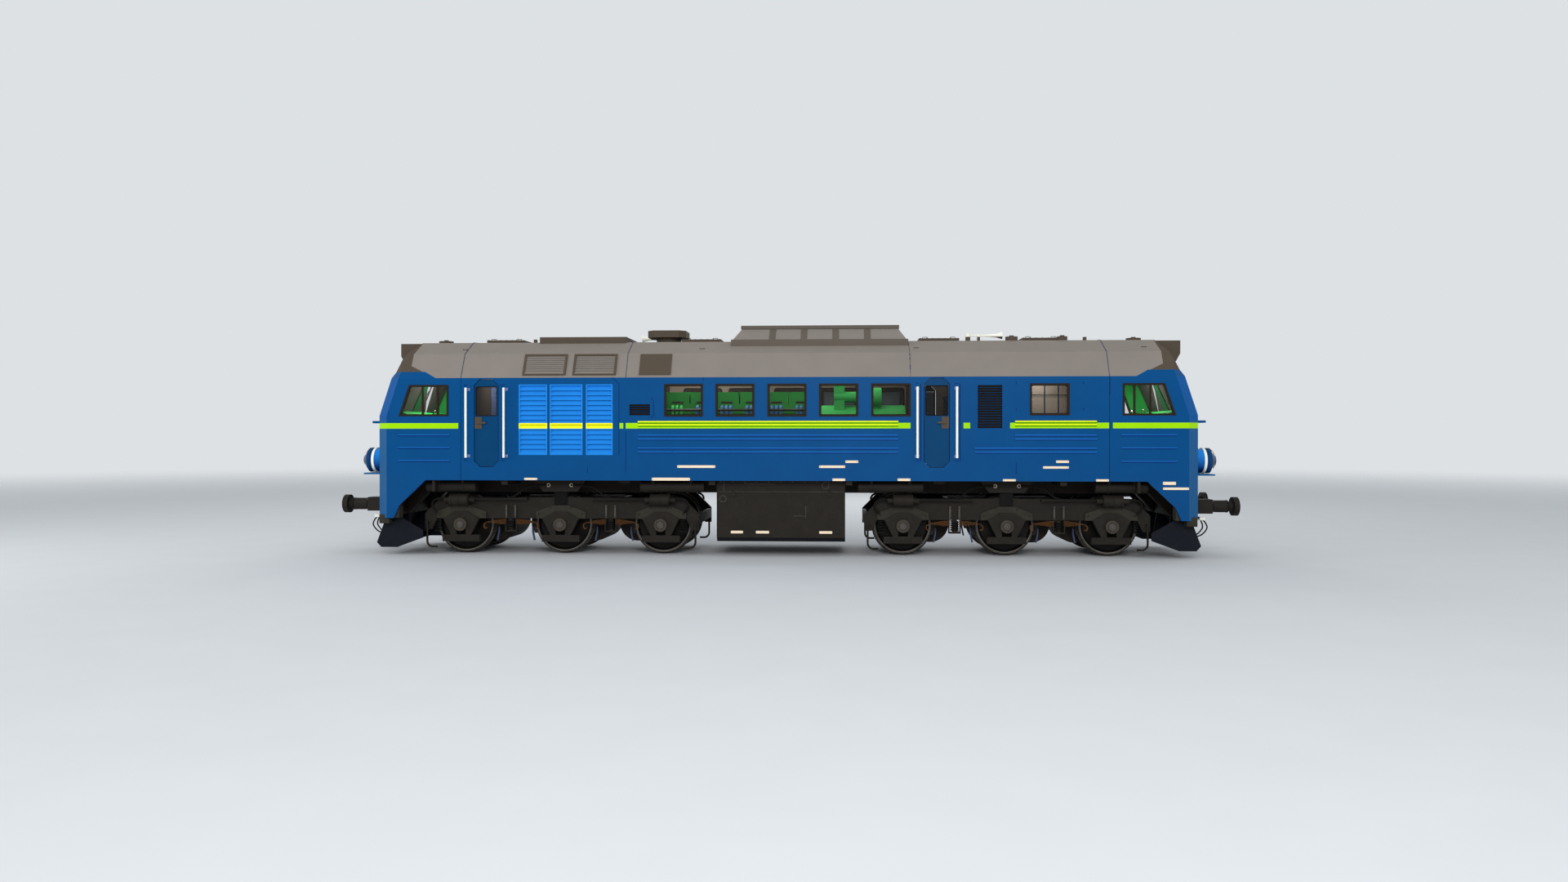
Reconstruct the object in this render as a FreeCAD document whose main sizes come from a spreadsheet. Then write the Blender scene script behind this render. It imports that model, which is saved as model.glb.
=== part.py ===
import FreeCAD
import Part

import os
import re

import Sketcher

# A six-axle diesel locomotive on two bogies, in millimetres.
# X runs along the length, Y to the far side, Z up from the lowest point of the wheel flanges.

SIZES = {
    # Running gear
    "pivot_spacing": 8600,
    "axle_pitch": 1966,
    "flange_radius": 590,
    "tread_radius": 562,
    "wheel_back_y": 660,
    "wheel_width": 130,
    "flange_width": 30,
    "rim_inner_radius": 500,
    "rim_recess": 22,
    "web_thickness": 36,
    "wheel_hub_radius": 145,
    "wheel_hub_width": 175,
    "axle_radius": 95,
    "journal_radius": 75,
    "journal_start_y": 905,
    "journal_end_y": 1088,
    "journal_gap": 0.8,
    "seat": 0.3,
    "cut_overrun": 20,
    # Body section
    "body_half_width": 1475,
    "body_wall": 60,
    "body_bottom": 1465,
    "gutter_z": 3425,
    "shoulder_inset": 235,
    "shoulder_z": 3900,
    "haunch_inset": 725,
    "haunch_z": 4160,
    "crown_z": 4205,
    "roof_thickness": 40,
    "seam_gap": 8,
    "roof_seam_rear_x": 2940,
    "roof_seam_front_x": 2450,
    # Cab and nose
    "cab_joint_x": 6130,
    "skirt_rear_x": 6825,
    "skirt_mid_x": 7335,
    "skirt_mid_z": 985,
    "skirt_front_x": 7448,
    "nose_bottom_z": 735,
    "nose_x": 7800,
    "knee_z": 2700,
    "eave_x": 7560,
    "eave_z": 3430,
    "brow_x": 7465,
    "brow_z": 3548,
    "crown_front_x": 7130,
    "corner_inset": 175,
    "corner_setback": 215,
    "gutter_tip_x": 6620,
    "brow_rear_x": 6850,
    "windscreen_inner_y": 60,
    "windscreen_margin": 170,
    "windscreen_bottom_z": 2760,
    "windscreen_top_z": 3370,
    "cab_window_rear_x": 6370,
    "cab_window_front_top_x": 7140,
    "cab_window_front_bottom_x": 7348,
    "cab_window_bottom_z": 2694,
    "cab_window_top_z": 3293,
    "cab_mullion_rear_x": 6585,
    "cab_mullion_front_x": 6875,
    "mullion_width": 36,
    "ledge_reach": 160,
    "ledge_inset": 225,
    "ledge_bottom_z": 2560,
    "ledge_height": 45,
    "draw_slot_half_width": 170,
    "draw_slot_bottom_z": 850,
    "draw_slot_height": 260,
    # Ribs on the side
    "rib_height": 30,
    "rib_depth": 9,
    "cab_rib_start_x": 6350,
    "cab_rib_end_x": 7360,
    "rib_row_low_z": 1835,
    "rib_row_mid_z": 2085,
    "rib_row_high_z": 2326,
    "long_rib_rear_x": 2709,
    "long_rib_front_x": 2223,
    "rear_rib_start_x": 4393,
    "rear_rib_end_x": 5897,
    "low_rib_start_x": 3650,
    "rib_pair_pitch": 74,
    "lower_pair_z": 1989,
    "upper_pair_z": 2234,
    "stripe_rib_z": 2454,
    "stripe_rib_pitch": 51,
    # Side openings
    "door_bottom_z": 1719,
    "door_top_z": 3405,
    "door_corner": 118,
    "door_a_left_x": 5876,
    "door_width": 484,
    "door_b_left_x": 2698,
    "door_clearance": 10,
    "door_recess": 15,
    "door_window_bottom_z": 2692,
    "door_window_top_z": 3262,
    "door_window_margin": 28,
    "hinge_pin_radius": 6,
    "hinge_pin_gap": 0.8,
    "hinge_offset": 18,
    "hinge_knuckle_radius": 12,
    "hinge_height": 60,
    "hinge_gap": 2,
    "hinge_strap_height": 12,
    "hinge_strap_length": 60,
    "hinge_plate_width": 40,
    "hinge_low_z": 2000,
    "hinge_high_z": 3050,
    "handle_plate_width": 136,
    "handle_plate_height": 224,
    "handle_plate_bottom_z": 2453,
    "handle_plate_thickness": 10,
    "handle_plate_margin": 4,
    "lever_length": 150,
    "lever_height": 34,
    "lever_depth": 32,
    "engine_window_height": 620,
    "engine_window_bottom_z": 2680,
    "engine_window_width": 740,
    "engine_window_1_x": 2204,
    "engine_window_2_x": 1225,
    "engine_window_3_x": 240,
    "engine_window_4_x": 734,
    "engine_window_5_x": 1715,
    "rear_window_x": 4664,
    "rear_window_width": 734,
    "rear_window_bottom_z": 2697,
    "rear_window_height": 597,
    "frame_width": 38,
    "frame_proud": 8,
    "pane_thickness": 10,
    "shutter_bottom_z": 1950,
    "shutter_top_z": 3297,
    "shutter_1_x": 5004,
    "shutter_1_width": 551,
    "shutter_2_x": 4404,
    "shutter_2_width": 633,
    "shutter_3_x": 3706,
    "shutter_3_width": 514,
    "shutter_slats": 14,
    "shutter_frame": 24,
    "slat_thickness": 8,
    "shutter_lean_share": 1.06,
    "louvre_lean_share": 0.55,
    "shutter_depth": 50,
    "radiator_inset": 120,
    "radiator_thickness": 220,
    "radiator_header_height": 160,
    "radiator_lobby_gap": 80,
    "small_louvre_x": 2889,
    "small_louvre_width": 434,
    "small_louvre_bottom_z": 2681,
    "small_louvre_height": 253,
    "small_louvre_slats": 5,
    "big_louvre_x": 3680,
    "big_louvre_width": 495,
    "big_louvre_bottom_z": 2434,
    "big_louvre_height": 850,
    "big_louvre_slats": 17,
    "louvre_frame": 20,
    # Handrails
    "rail_radius": 22,
    "rail_reach": 72,
    "rail_bottom_z": 1900,
    "rail_top_z": 3235,
    "rail_foot": 36,
    "rail_a1_x": 6012,
    "rail_a2_x": 5276,
    "rail_b1_x": 2577,
    "rail_b2_x": 3309,
    # Roof grilles and side panel
    "grille_bottom_z": 3470,
    "grille_top_z": 3880,
    "grille_1_x": 4939,
    "grille_2_x": 3970,
    "grille_width": 835,
    "grille_frame": 40,
    "grille_slats": 8,
    "grille_depth": 26,
    "roof_panel_x": 2692,
    "roof_panel_width": 610,
    "roof_panel_thickness": 14,
    # Fan
    "fan_x": 3924,
    "fan_frame_length": 1724,
    "fan_frame_half_width": 800,
    "fan_frame_top_z": 4262,
    "fan_frame_bottom_z": 4090,
    "fan_duct_radius": 700,
    "fan_duct_wall": 24,
    "fan_duct_bottom_z": 3820,
    "fan_radius": 680,
    "fan_hub_radius": 170,
    "fan_hub_height": 190,
    "fan_hub_bottom_z": 3935,
    "fan_shaft_radius": 40,
    "fan_blade_thickness": 12,
    "fan_blade_chord": 250,
    "fan_blade_pitch_deg": 28,
    "fan_blades": 8,
    "fan_bearing_radius": 110,
    "fan_bearing_height": 60,
    "fan_arm_width": 60,
    "fan_guard_bars": 11,
    "fan_guard_bar": 14,
    # Roof monitor
    "monitor_rear_x": 985,
    "monitor_front_x": 2450,
    "monitor_base_half_width": 950,
    "monitor_base_bottom_z": 3990,
    "monitor_base_top_z": 4185,
    "monitor_cap_half_width": 560,
    "monitor_cap_bottom_z": 4425,
    "monitor_cap_thickness": 65,
    "monitor_post_x": 187,
    "monitor_post_pitch": 616,
    "monitor_post_width": 127,
    "monitor_post_proud": 9,
    "monitor_posts": 4,
    "monitor_cap_inset": 185,
    "monitor_cap_lip": 22,
    # Roof fittings
    "exhaust_x": 2345,
    "exhaust_cap_half_width": 385,
    "exhaust_cap_facet": 255,
    "exhaust_cap_bottom_z": 4290,
    "exhaust_cap_height": 138,
    "exhaust_neck_radius": 250,
    "hatch_half_width": 480,
    "hatch_top_z": 4236,
    "hatch_1_x": 5950,
    "hatch_1_length": 750,
    "hatch_2_x": 2016,
    "hatch_2_length": 785,
    "hatch_3_x": 2683,
    "hatch_3_length": 784,
    "hatch_4_x": 4694,
    "hatch_4_length": 740,
    "vent_x": 4457,
    "vent_y": 640,
    "vent_radius": 118,
    "vent_top_z": 4240,
    "vent_knob_radius": 46,
    "vent_knob_height": 24,
    "small_vent_x": 5428,
    "small_vent_radius": 100,
    "small_vent_top_z": 4240,
    "cab_vent_x": 6960,
    "cab_vent_radius": 145,
    "cab_vent_top_z": 4258,
    # Horns
    "horn_fan_gap": 82,
    "horn_b_x": 3680,
    "horn_y": 500,
    "horn_z": 4279,
    "horn_a_rise": 60,
    "horn_mid_radius": 36,
    "horn_driver_height": 43,
    "horn_length": 617,
    "horn_throat_radius": 15,
    "horn_bell_radius": 71,
    "horn_driver_radius": 48,
    "horn_clip_offset": 160,
    "horn_clip_radius": 30,
    # Headlight
    "headlight_front_x": 7788,
    "headlight_low_x": 7705,
    "headlight_half_width": 300,
    "headlight_top_z": 4187,
    "headlight_chin_z": 3935,
    "headlight_low_z": 3779,
    "headlight_rear_x": 7080,
    "headlight_lens_radius": 105,
    "lens_depth": 14,
    "headlight_lens_z": 4060,
    # Lamps on the nose
    "lamp_y": 1000,
    "lamp_z": 1848,
    "lamp_radius": 225,
    "lamp_length": 240,
    "lamp_ring_radius": 239,
    "lamp_ring_length": 55,
    "lamp_ring_wall": 40,
    "lamp_dome_reach": 112,
    "lamp_shelf_width": 520,
    "lamp_shelf_reach": 330,
    "lamp_shelf_drop": 250,
    "lamp_shelf_thickness": 30,
    # Buffers and draw gear
    "buffer_y": 875,
    "buffer_z": 975,
    "buffer_flange": 330,
    "buffer_flange_thickness": 30,
    "buffer_housing_length": 372,
    "buffer_housing_half": 134,
    "buffer_sleeve_length": 305,
    "buffer_sleeve_radius": 115,
    "buffer_crown": 12,
    "buffer_crown_inset": 30,
    "buffer_shank_radius": 98,
    "buffer_bore_depth": 250,
    "buffer_head_radius": 178,
    "buffer_head_thickness": 110,
    "buffer_face_x": 8680,
    "hook_z": 975,
    "hook_shank": 70,
    "hook_front_x": 8130,
    "hook_plate": 56,
    "hook_rise": 130,
    "link_bar_radius": 21,
    "link_half_width": 75,
    "link_length": 330,
    "hose_y": 900,
    "hose_radius": 26,
    "hose_loop_radius": 105,
    "cock_radius": 34,
    "cock_z": 768,
    "cock_reach": 130,
    # Plough
    "plough_inset": 245,
    "plough_plate": 20,
    "plough_top_x": 7690,
    "plough_lip_x": 7885,
    "plough_lip_z": 244,
    "plough_toe_x": 7798,
    "plough_bottom_z": 150,
    "plough_heel_x": 7480,
    "plough_rear_x": 6970,
    "plough_rear_bottom_z": 338,
    "plough_rear_top_z": 484,
    # Underframe
    "floor_thickness": 30,
    "floor_end_x": 7500,
    "sill_y": 450,
    "sill_width": 200,
    "sill_bottom_z": 1200,
    "headstock_depth": 240,
    "headstock_inset": 240,
    "headstock_bottom_z": 770,
    "headstock_height": 400,
    "bearer_depth": 85,
    "bearer_width": 120,
    "bearer_x": 1300,
    "bearer_outer_x": 5300,
    "pivot_post_radius": 260,
    "pivot_post_bottom_z": 1130,
    "pivot_pin_radius": 120,
    "pivot_pin_bottom_z": 985,
    "pivot_gap": 0.8,
    "side_bearer_y": 1030,
    "side_bearer_width": 160,
    "side_bearer_bottom_z": 1232,
    "side_bearer_top_half": 516,
    "side_bearer_low_half": 334,
    "jack_x": 3000,
    "jack_width": 220,
    "jack_drop": 60,
    "jack_y": 1200,
    # Fuel tank and reservoirs
    "tank_half_length": 1228,
    "tank_inset": 225,
    "tank_side_bottom_z": 370,
    "tank_bottom_z": 290,
    "tank_chamfer": 100,
    "tank_cap_radius": 55,
    "tank_cap_reach": 24,
    "reservoir_inset": 315,
    "reservoir_z": 1338,
    "reservoir_radius": 108,
    "reservoir_a_x": 5928,
    "reservoir_a_length": 970,
    "reservoir_b_x": 1475,
    "reservoir_b_length": 1230,
    "strap_width": 46,
    "strap_proud": 8,
    "strap_inset": 250,
    # Bogie frame
    "frame_half_length": 2700,
    "side_frame_y": 960,
    "side_frame_thickness": 80,
    "frame_top_z": 1115,
    "frame_end_z": 800,
    "frame_end_bottom_z": 490,
    "frame_bottom_z": 706,
    "frame_end_foot": 110,
    "arch_half_width": 357,
    "arch_top_half": 122,
    "arch_top_z": 843,
    "band_half_width": 490,
    "band_knee_z": 838,
    "band_top_half": 150,
    "band_top_z": 962,
    "band_proud": 32,
    "transom_half_width": 60,
    "transom_bottom_z": 740,
    "transom_top_z": 1060,
    "end_beam_depth": 70,
    "end_beam_bottom_z": 600,
    "end_beam_top_z": 790,
    "bolster_half_width": 300,
    "bolster_bottom_z": 982,
    "bolster_top_z": 1100,
    "bearing_pad_half": 122,
    "bearing_pad_bottom_z": 984,
    "bearing_pad_top_z": 1226,
    # Axle boxes
    "box_plate_y": 972,
    "box_plate_thickness": 128,
    "box_foot_half": 194,
    "box_foot_z": 385,
    "box_bar_half": 368,
    "box_bar_z": 256,
    "box_slot_half": 92,
    "box_slot_bottom_z": 391,
    "box_slot_height": 106,
    "cap_radius": 125,
    "cap_reach": 50,
    # Springs
    "spring_y": 985,
    "leaf_half_length": 542,
    "leaf_gap_half": 112,
    "leaf_width": 90,
    "leaf_top_z": 696,
    "leaf_end_top_z": 575,
    "leaf_end_bottom_z": 520,
    "leaf_centre_bottom_z": 580,
    "coil_radius": 86,
    "coil_wire": 17,
    "coil_bottom_z": 478,
    "coil_top_z": 705,
    "coil_seat_z": 446,
    "coil_seat_half": 118,
    "hanger_width": 30,
    "hanger_top_z": 971,
    "hanger_bottom_z": 722,
    "hanger_proud": 34,
    "hanger_offset": 88,
    # Brake gear
    "shoe_gap": 8,
    "shoe_thickness": 55,
    "shoe_y": 700,
    "shoe_width": 85,
    "shoe_half_height": 190,
    "shoe_hanger_width": 36,
    "shoe_hanger_depth": 60,
    "brake_beam_radius": 28,
    "cylinder_y": 1163,
    "cylinder_z": 1077,
    "cylinder_radius": 114,
    "cylinder_half_length": 187,
    "cylinder_rod_radius": 52,
    "cylinder_rod_half": 300,
    "pipe_radius": 17,
    "pipe_z": 1092,
    "sand_pipe_x": 2640,
    "sand_pipe_y": 1085,
    "sand_pipe_radius": 20,
    "sand_pipe_top_z": 640,
    "sand_pipe_bend_z": 260,
    "sand_pipe_bend_radius": 108,
    "sand_pipe_reach": 90,
    # Traction motors
    "motor_offset": 560,
    "motor_radius": 365,
    "motor_half_width": 470,
    "motor_bracket_z": 850,
    "motor_bracket_height": 80,
    "motor_bracket_half_width": 150,
    "gear_case_y": 500,
    "gear_case_width": 110,
    "gear_case_radius": 250,
    "suspension_gap": 3,
    # Engine room
    "engine_rear_x": 2483,
    "engine_front_x": 640,
    "engine_half_width": 520,
    "engine_block_top_z": 2760,
    "engine_bank_z": 2949,
    "engine_bank_half_width": 620,
    "rocker_box_length": 465,
    "rocker_box_pitch": 491.5,
    "rocker_box_width": 300,
    "rocker_box_height": 233,
    "rocker_box_y": 230,
    "rocker_boxes": 6,
    "manifold_radius": 95,
    "manifold_z": 2850,
    "charger_x": 1010,
    "charger_length": 210,
    "charger_half_width": 350,
    "charger_top_z": 3330,
    "duct_radius": 110,
    "duct_z": 3085,
    "duct_y": 260,
    "duct_collar_x": 1600,
    "duct_collar_length": 350,
    "duct_collar_radius": 190,
    "generator_x": 760,
    "generator_length": 1660,
    "generator_radius": 640,
    "generator_z": 2290,
    "generator_foot_half": 520,
    "cabinet_x": 3750,
    "cabinet_length": 1950,
    "cabinet_half_width": 760,
    "cabinet_top_z": 3330,
    "cabinet_door_height": 560,
    "cabinet_door_upper_height": 200,
    "cabinet_door_gap": 64,
    "cabinet_door_width": 236,
    "cabinet_door_pitch": 264,
    "cabinet_columns": 7,
    "cabinet_door_proud": 14,
    "cabinet_door_bottom_z": 2490,
    "bulkhead_thickness": 40,
    "bulkhead_rear_x": 2560,
    "bulkhead_front_x": 2545,
    # Cab interior
    "desk_rear_x": 7000,
    "desk_front_x": 7640,
    "desk_wall_gap": 235,
    "desk_top_z": 2600,
    "desk_rise": 200,
    "desk_knee_x": 7180,
    "desk_base_z": 1900,
    "seat_x": 6560,
    "seat_y": 640,
    "seat_cushion": 460,
    "seat_cushion_z": 2020,
    "seat_cushion_thickness": 110,
    "seat_back_thickness": 90,
    "seat_back_top_z": 3010,
    "seat_post_radius": 60,
}

doc = FreeCAD.newDocument("diesel_locomotive")
sheet = doc.addObject("Spreadsheet::Sheet", "sizes")
for row, (alias, size) in enumerate(SIZES.items(), 1):
    sheet.set(f"A{row}", alias)
    sheet.set(f"B{row}", str(size))
    sheet.setAlias(f"B{row}", alias)
doc.recompute()

WORD = re.compile(r"(?<![\w.])(?!(?:sin|cos|tan|atan|sqrt|abs|min|max)\()[a-z_]\w*")
X_AXIS = FreeCAD.Vector(1, 0, 0)
Y_AXIS = FreeCAD.Vector(0, 1, 0)
Z_AXIS = FreeCAD.Vector(0, 0, 1)
TURN_TO = {
    "x": FreeCAD.Rotation(Y_AXIS, 90),
    "y": FreeCAD.Rotation(X_AXIS, -90),
    "z": FreeCAD.Rotation(),
}
PLANES = {
    "xy": (FreeCAD.Rotation(), Z_AXIS, "z"),
    "xz": (FreeCAD.Rotation(X_AXIS, 90), Y_AXIS, "y"),
    "yz": (FreeCAD.Rotation(FreeCAD.Vector(1, 1, 1), 120), X_AXIS, "x"),
}
NODES = []


def bound(text):
    """The expression with every size read from the sheet."""
    return WORD.sub(lambda word: "sizes." + word.group(0), text)


def value(text):
    return float(sheet.evalExpression(bound(text)))


def set_base(item, **places):
    for axis, text in places.items():
        item.setExpression(f"Placement.Base.{axis}", bound(text))


def block(name, x, y, z):
    """A box between three pairs of limits."""
    item = doc.addObject("Part::Box", name)
    for prop, (low, high) in (("Length", x), ("Width", y), ("Height", z)):
        item.setExpression(prop, bound(f"({high}) - ({low})"))
    set_base(item, x=x[0], y=y[0], z=z[0])
    return item


def rod(name, axis, radius, low, high, **centre):
    """A cylinder along one axis between two limits."""
    item = doc.addObject("Part::Cylinder", name)
    item.setExpression("Radius", bound(radius))
    item.setExpression("Height", bound(f"({high}) - ({low})"))
    item.Placement.Rotation = TURN_TO[axis]
    set_base(item, **{axis: low}, **centre)
    return item


def cone(name, axis, radius_low, radius_high, low, high, **centre):
    item = doc.addObject("Part::Cone", name)
    item.setExpression("Radius1", bound(radius_low))
    item.setExpression("Radius2", bound(radius_high))
    item.setExpression("Height", bound(f"({high}) - ({low})"))
    item.Placement.Rotation = TURN_TO[axis]
    set_base(item, **{axis: low}, **centre)
    return item


def outline(name, plane, points, offset="0"):
    """A closed sketch through points whose two coordinates are expressions."""
    sketch = doc.addObject("Sketcher::SketchObject", name)
    turn, _, normal = PLANES[plane]
    sketch.Placement.Rotation = turn
    set_base(sketch, **{normal: offset})
    spots = [FreeCAD.Vector(value(across), value(along), 0) for across, along in points]
    for spot, following in zip(spots, spots[1:] + spots[:1]):
        sketch.addGeometry(Part.LineSegment(spot, following))
    for index in range(len(points)):
        sketch.addConstraint(Sketcher.Constraint("Coincident", index, 2, (index + 1) % len(points), 1))
    for index, (spot, texts) in enumerate(zip(spots, points)):
        for kind, start, text in (("DistanceX", spot.x, texts[0]), ("DistanceY", spot.y, texts[1])):
            rule = sketch.addConstraint(Sketcher.Constraint(kind, -1, 1, index, 1, start))
            sketch.setExpression(f"Constraints[{rule}]", bound(text))
    return sketch


def prism(name, plane, points, low, high):
    """An outline carried along its normal between two limits."""
    sketch = outline(name + "_outline", plane, points, low)
    item = doc.addObject("Part::Extrusion", name)
    item.Base = sketch
    item.DirMode = "Custom"
    item.Dir = PLANES[plane][1]
    item.setExpression("LengthFwd", bound(f"({high}) - ({low})"))
    item.Solid = True
    return item


def turned(name, points, axis=Y_AXIS, plane="yz"):
    """An outline turned about an axis through the origin."""
    item = doc.addObject("Part::Revolution", name)
    item.Source = outline(name + "_outline", plane, points)
    item.Axis = axis
    item.Angle = 360
    item.Solid = True
    return item


def fuse(name, *items):
    item = doc.addObject("Part::MultiFuse", name)
    item.Shapes = list(items)
    return item


def cut(name, base, *tools):
    item = doc.addObject("Part::Cut", name)
    item.Base = base
    item.Tool = tools[0] if len(tools) == 1 else fuse(name + "_tools", *tools)
    return item


def common(name, base, tool):
    item = doc.addObject("Part::Common", name)
    item.Base = base
    item.Tool = tool
    return item


def together(name, *items):
    item = doc.addObject("Part::Compound", name)
    item.Links = list(items)
    return item


def moved(name, item, **places):
    """A copy that follows its original, carried by the given distances."""
    copy = together(name, item)
    set_base(copy, **places)
    return copy


def mirrored(name, item, normal):
    copy = doc.addObject("Part::Mirroring", name)
    copy.Source = item
    copy.Normal = normal
    return copy


def both_sides(name, item):
    return together(name, item, mirrored(name + "_far", item, Y_AXIS))


def both_ends(name, item):
    return together(name, item, mirrored(name + "_end_a", item, X_AXIS))


def four_ways(name, item):
    return both_ends(name, both_sides(name + "_pair", item))


def node(name, item):
    """Marks an object as a finished piece under its own label."""
    item.Label = name
    NODES.append((name, item))
    return item


def body_section(name, inset, low, high):
    """The cross-section of body and roof, drawn inwards by the inset, along X."""
    side = f"body_half_width - ({inset})"
    points = [
        (f"-({side})", "nose_bottom_z - cut_overrun"),
        (side, "nose_bottom_z - cut_overrun"),
        (side, "gutter_z"),
        (f"(body_half_width - shoulder_inset) - ({inset})", f"shoulder_z - ({inset}) / 2"),
        (f"(body_half_width - haunch_inset) - ({inset}) / 2", f"haunch_z - ({inset})"),
        ("0", f"crown_z - ({inset})"),
        (f"-((body_half_width - haunch_inset) - ({inset}) / 2)", f"haunch_z - ({inset})"),
        (f"-((body_half_width - shoulder_inset) - ({inset}))", f"shoulder_z - ({inset}) / 2"),
        (f"-({side})", "gutter_z"),
    ]
    return prism(name, "yz", points, low, high)


def slatted_panel(name, x, width, z, height, depth, count, frame, lean_share, backed):
    """A frame filled with sloping slats, with a filter plate at its back where it is backed."""
    ring = cut(
        name + "_ring",
        block(name + "_plate", ("0", width), ("0", depth), ("0", height)),
        block(
            name + "_hole",
            (frame, f"{width} - {frame}"),
            ("-cut_overrun", f"{depth} + cut_overrun"),
            (frame, f"{height} - {frame}"),
        ),
    )
    pitch = f"({height} - 2 * {frame}) / {SIZES[count]}"
    slat = prism(
        name + "_slat",
        "yz",
        [
            ("0", "0"),
            ("slat_thickness", "0"),
            (depth, f"{pitch} * {lean_share}"),
            (f"{depth} - slat_thickness", f"{pitch} * {lean_share}"),
        ],
        f"{frame} / 2",
        f"{width} - {frame} / 2",
    )
    rows = []
    for index in range(SIZES[count]):
        rows.append(moved(f"{name}_row_{index}", slat, z=f"{frame} + {index} * {pitch}"))
    if backed:
        rows.append(
            block(
                name + "_filter",
                (f"{frame} / 2", f"{width} - {frame} / 2"),
                (f"{depth} - slat_thickness", depth),
                (f"{frame} / 2", f"{height} - {frame} / 2"),
            )
        )
    return moved(name, fuse(name + "_body", ring, *rows), x=x, z=z)


# Body shell


def cab_profile(setback, inset):
    """Half of the cab's outline in side view, from the joint with the side wall to the nose."""
    rise = "(brow_x - crown_front_x) / (crown_z - brow_z)"
    top_x = f"crown_front_x - cut_overrun * {rise}"
    front = [
        (f"nose_x - {setback} - {inset}", "knee_z"),
        (f"eave_x - {setback} - {inset}", "eave_z"),
        (f"brow_x - {setback} - {inset}", "brow_z"),
        (f"{top_x} - {setback} - {inset}", "crown_z + cut_overrun"),
    ]
    if inset == "0":
        rear = "cab_joint_x + seam_gap / 2"
        skirt = [
            (rear, "body_bottom"),
            ("skirt_rear_x", "body_bottom"),
            ("skirt_mid_x", "skirt_mid_z"),
            ("skirt_front_x", "nose_bottom_z"),
            (f"nose_x - {setback}", "nose_bottom_z"),
        ]
    else:
        rear = "cab_joint_x - cut_overrun"
        skirt = [
            (rear, "nose_bottom_z - cut_overrun"),
            (f"nose_x - {setback} - {inset}", "nose_bottom_z - cut_overrun"),
        ]
    return skirt + front + [(rear, "crown_z + cut_overrun")]


def cab_form(name, inset, side, corner):
    """The cab's faceted form: a straight front between two slanted corners."""
    rows = [(f"-({side})", "corner_setback"), (f"-({corner})", "0"), (corner, "0"), (side, "corner_setback")]
    sections = []
    for index, (across, setback) in enumerate(rows):
        sections.append(outline(f"{name}_section_{index}", "xz", cab_profile(setback, inset), across))
    item = doc.addObject("Part::Loft", name + "_loft")
    item.Sections = sections
    item.Solid = True
    item.Ruled = True
    across = body_section(name + "_across", inset, "cab_joint_x - 2 * cut_overrun", "nose_x + cut_overrun")
    return common(name, item, across)


def window_slope():
    run = "(cab_window_front_bottom_x - cab_window_front_top_x)"
    return f"{run} / (cab_window_top_z - cab_window_bottom_z)"


def cab_window_outline(inset):
    """The cab's side window, its front edge leaning with the windscreen."""
    inset = f"({inset})"
    shift = f"{inset} * {window_slope()}"
    return [
        (f"cab_window_rear_x + {inset}", f"cab_window_bottom_z + {inset}"),
        (f"cab_window_front_bottom_x - {shift} - {inset}", f"cab_window_bottom_z + {inset}"),
        (f"cab_window_front_top_x + {shift} - {inset}", f"cab_window_top_z - {inset}"),
        (f"cab_window_rear_x + {inset}", f"cab_window_top_z - {inset}"),
    ]


def build_cab():
    """The blue shell of one end and the roof piece above it."""
    outside = cab_form("cab_outside", "0", "body_half_width", "(body_half_width - corner_inset)")
    inside = cab_form("cab_inside", "body_wall", "body_half_width - body_wall", "(body_half_width - corner_inset) - body_wall * 2 / 3")
    windscreens = both_sides(
        "windscreen_cut",
        block(
            "windscreen_cut_half",
            ("eave_x - 4 * body_wall", "nose_x + cut_overrun"),
            ("windscreen_inner_y", "(body_half_width - corner_inset - windscreen_margin)"),
            ("windscreen_bottom_z", "windscreen_top_z"),
        ),
    )
    side_windows = prism(
        "cab_window_cut",
        "xz",
        cab_window_outline("0"),
        "-(body_half_width + cut_overrun)",
        "body_half_width + cut_overrun",
    )
    draw_slot = block(
        "draw_slot",
        ("nose_x - 2 * body_wall", "nose_x + cut_overrun"),
        ("-draw_slot_half_width", "draw_slot_half_width"),
        ("draw_slot_bottom_z", "draw_slot_bottom_z + draw_slot_height"),
    )
    shell = cut("cab_hollow", outside, inside, windscreens, side_windows, draw_slot)
    divider = prism(
        "cab_divider",
        "xz",
        [
            ("cab_joint_x", "gutter_z"),
            ("gutter_tip_x", "gutter_z"),
            ("brow_rear_x", "brow_z"),
            ("nose_x", "brow_z"),
            ("nose_x", "crown_z + 2 * cut_overrun"),
            ("cab_joint_x", "crown_z + 2 * cut_overrun"),
        ],
        "-(body_half_width + cut_overrun)",
        "body_half_width + cut_overrun",
    )
    ribs = []
    for row in ("low", "mid", "high"):
        ribs.append(
            block(
                f"cab_rib_{row}",
                ("cab_rib_start_x", "cab_rib_end_x"),
                ("-(body_half_width + rib_depth)", "-(body_half_width - rib_depth)"),
                (f"rib_row_{row}_z - rib_height / 2", f"rib_row_{row}_z + rib_height / 2"),
            )
        )
    ledge = block(
        "cab_ledge",
        ("nose_x - body_wall / 2", "nose_x + ledge_reach"),
        ("-(body_half_width - ledge_inset)", "(body_half_width - ledge_inset)"),
        ("ledge_bottom_z", "ledge_bottom_z + ledge_height"),
    )
    rib_set = both_sides("cab_ribs", together("cab_ribs_near", *ribs))
    shell_b = fuse("cab_b", cut("cab_lower", shell, divider), rib_set, ledge)
    node("cab_b_shell", shell_b)
    node("cab_a_shell", mirrored("cab_a", shell_b, X_AXIS))
    node("cab_roofs", both_ends("cab_roof_pair", common("cab_upper", shell, divider)))
    return outside


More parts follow.
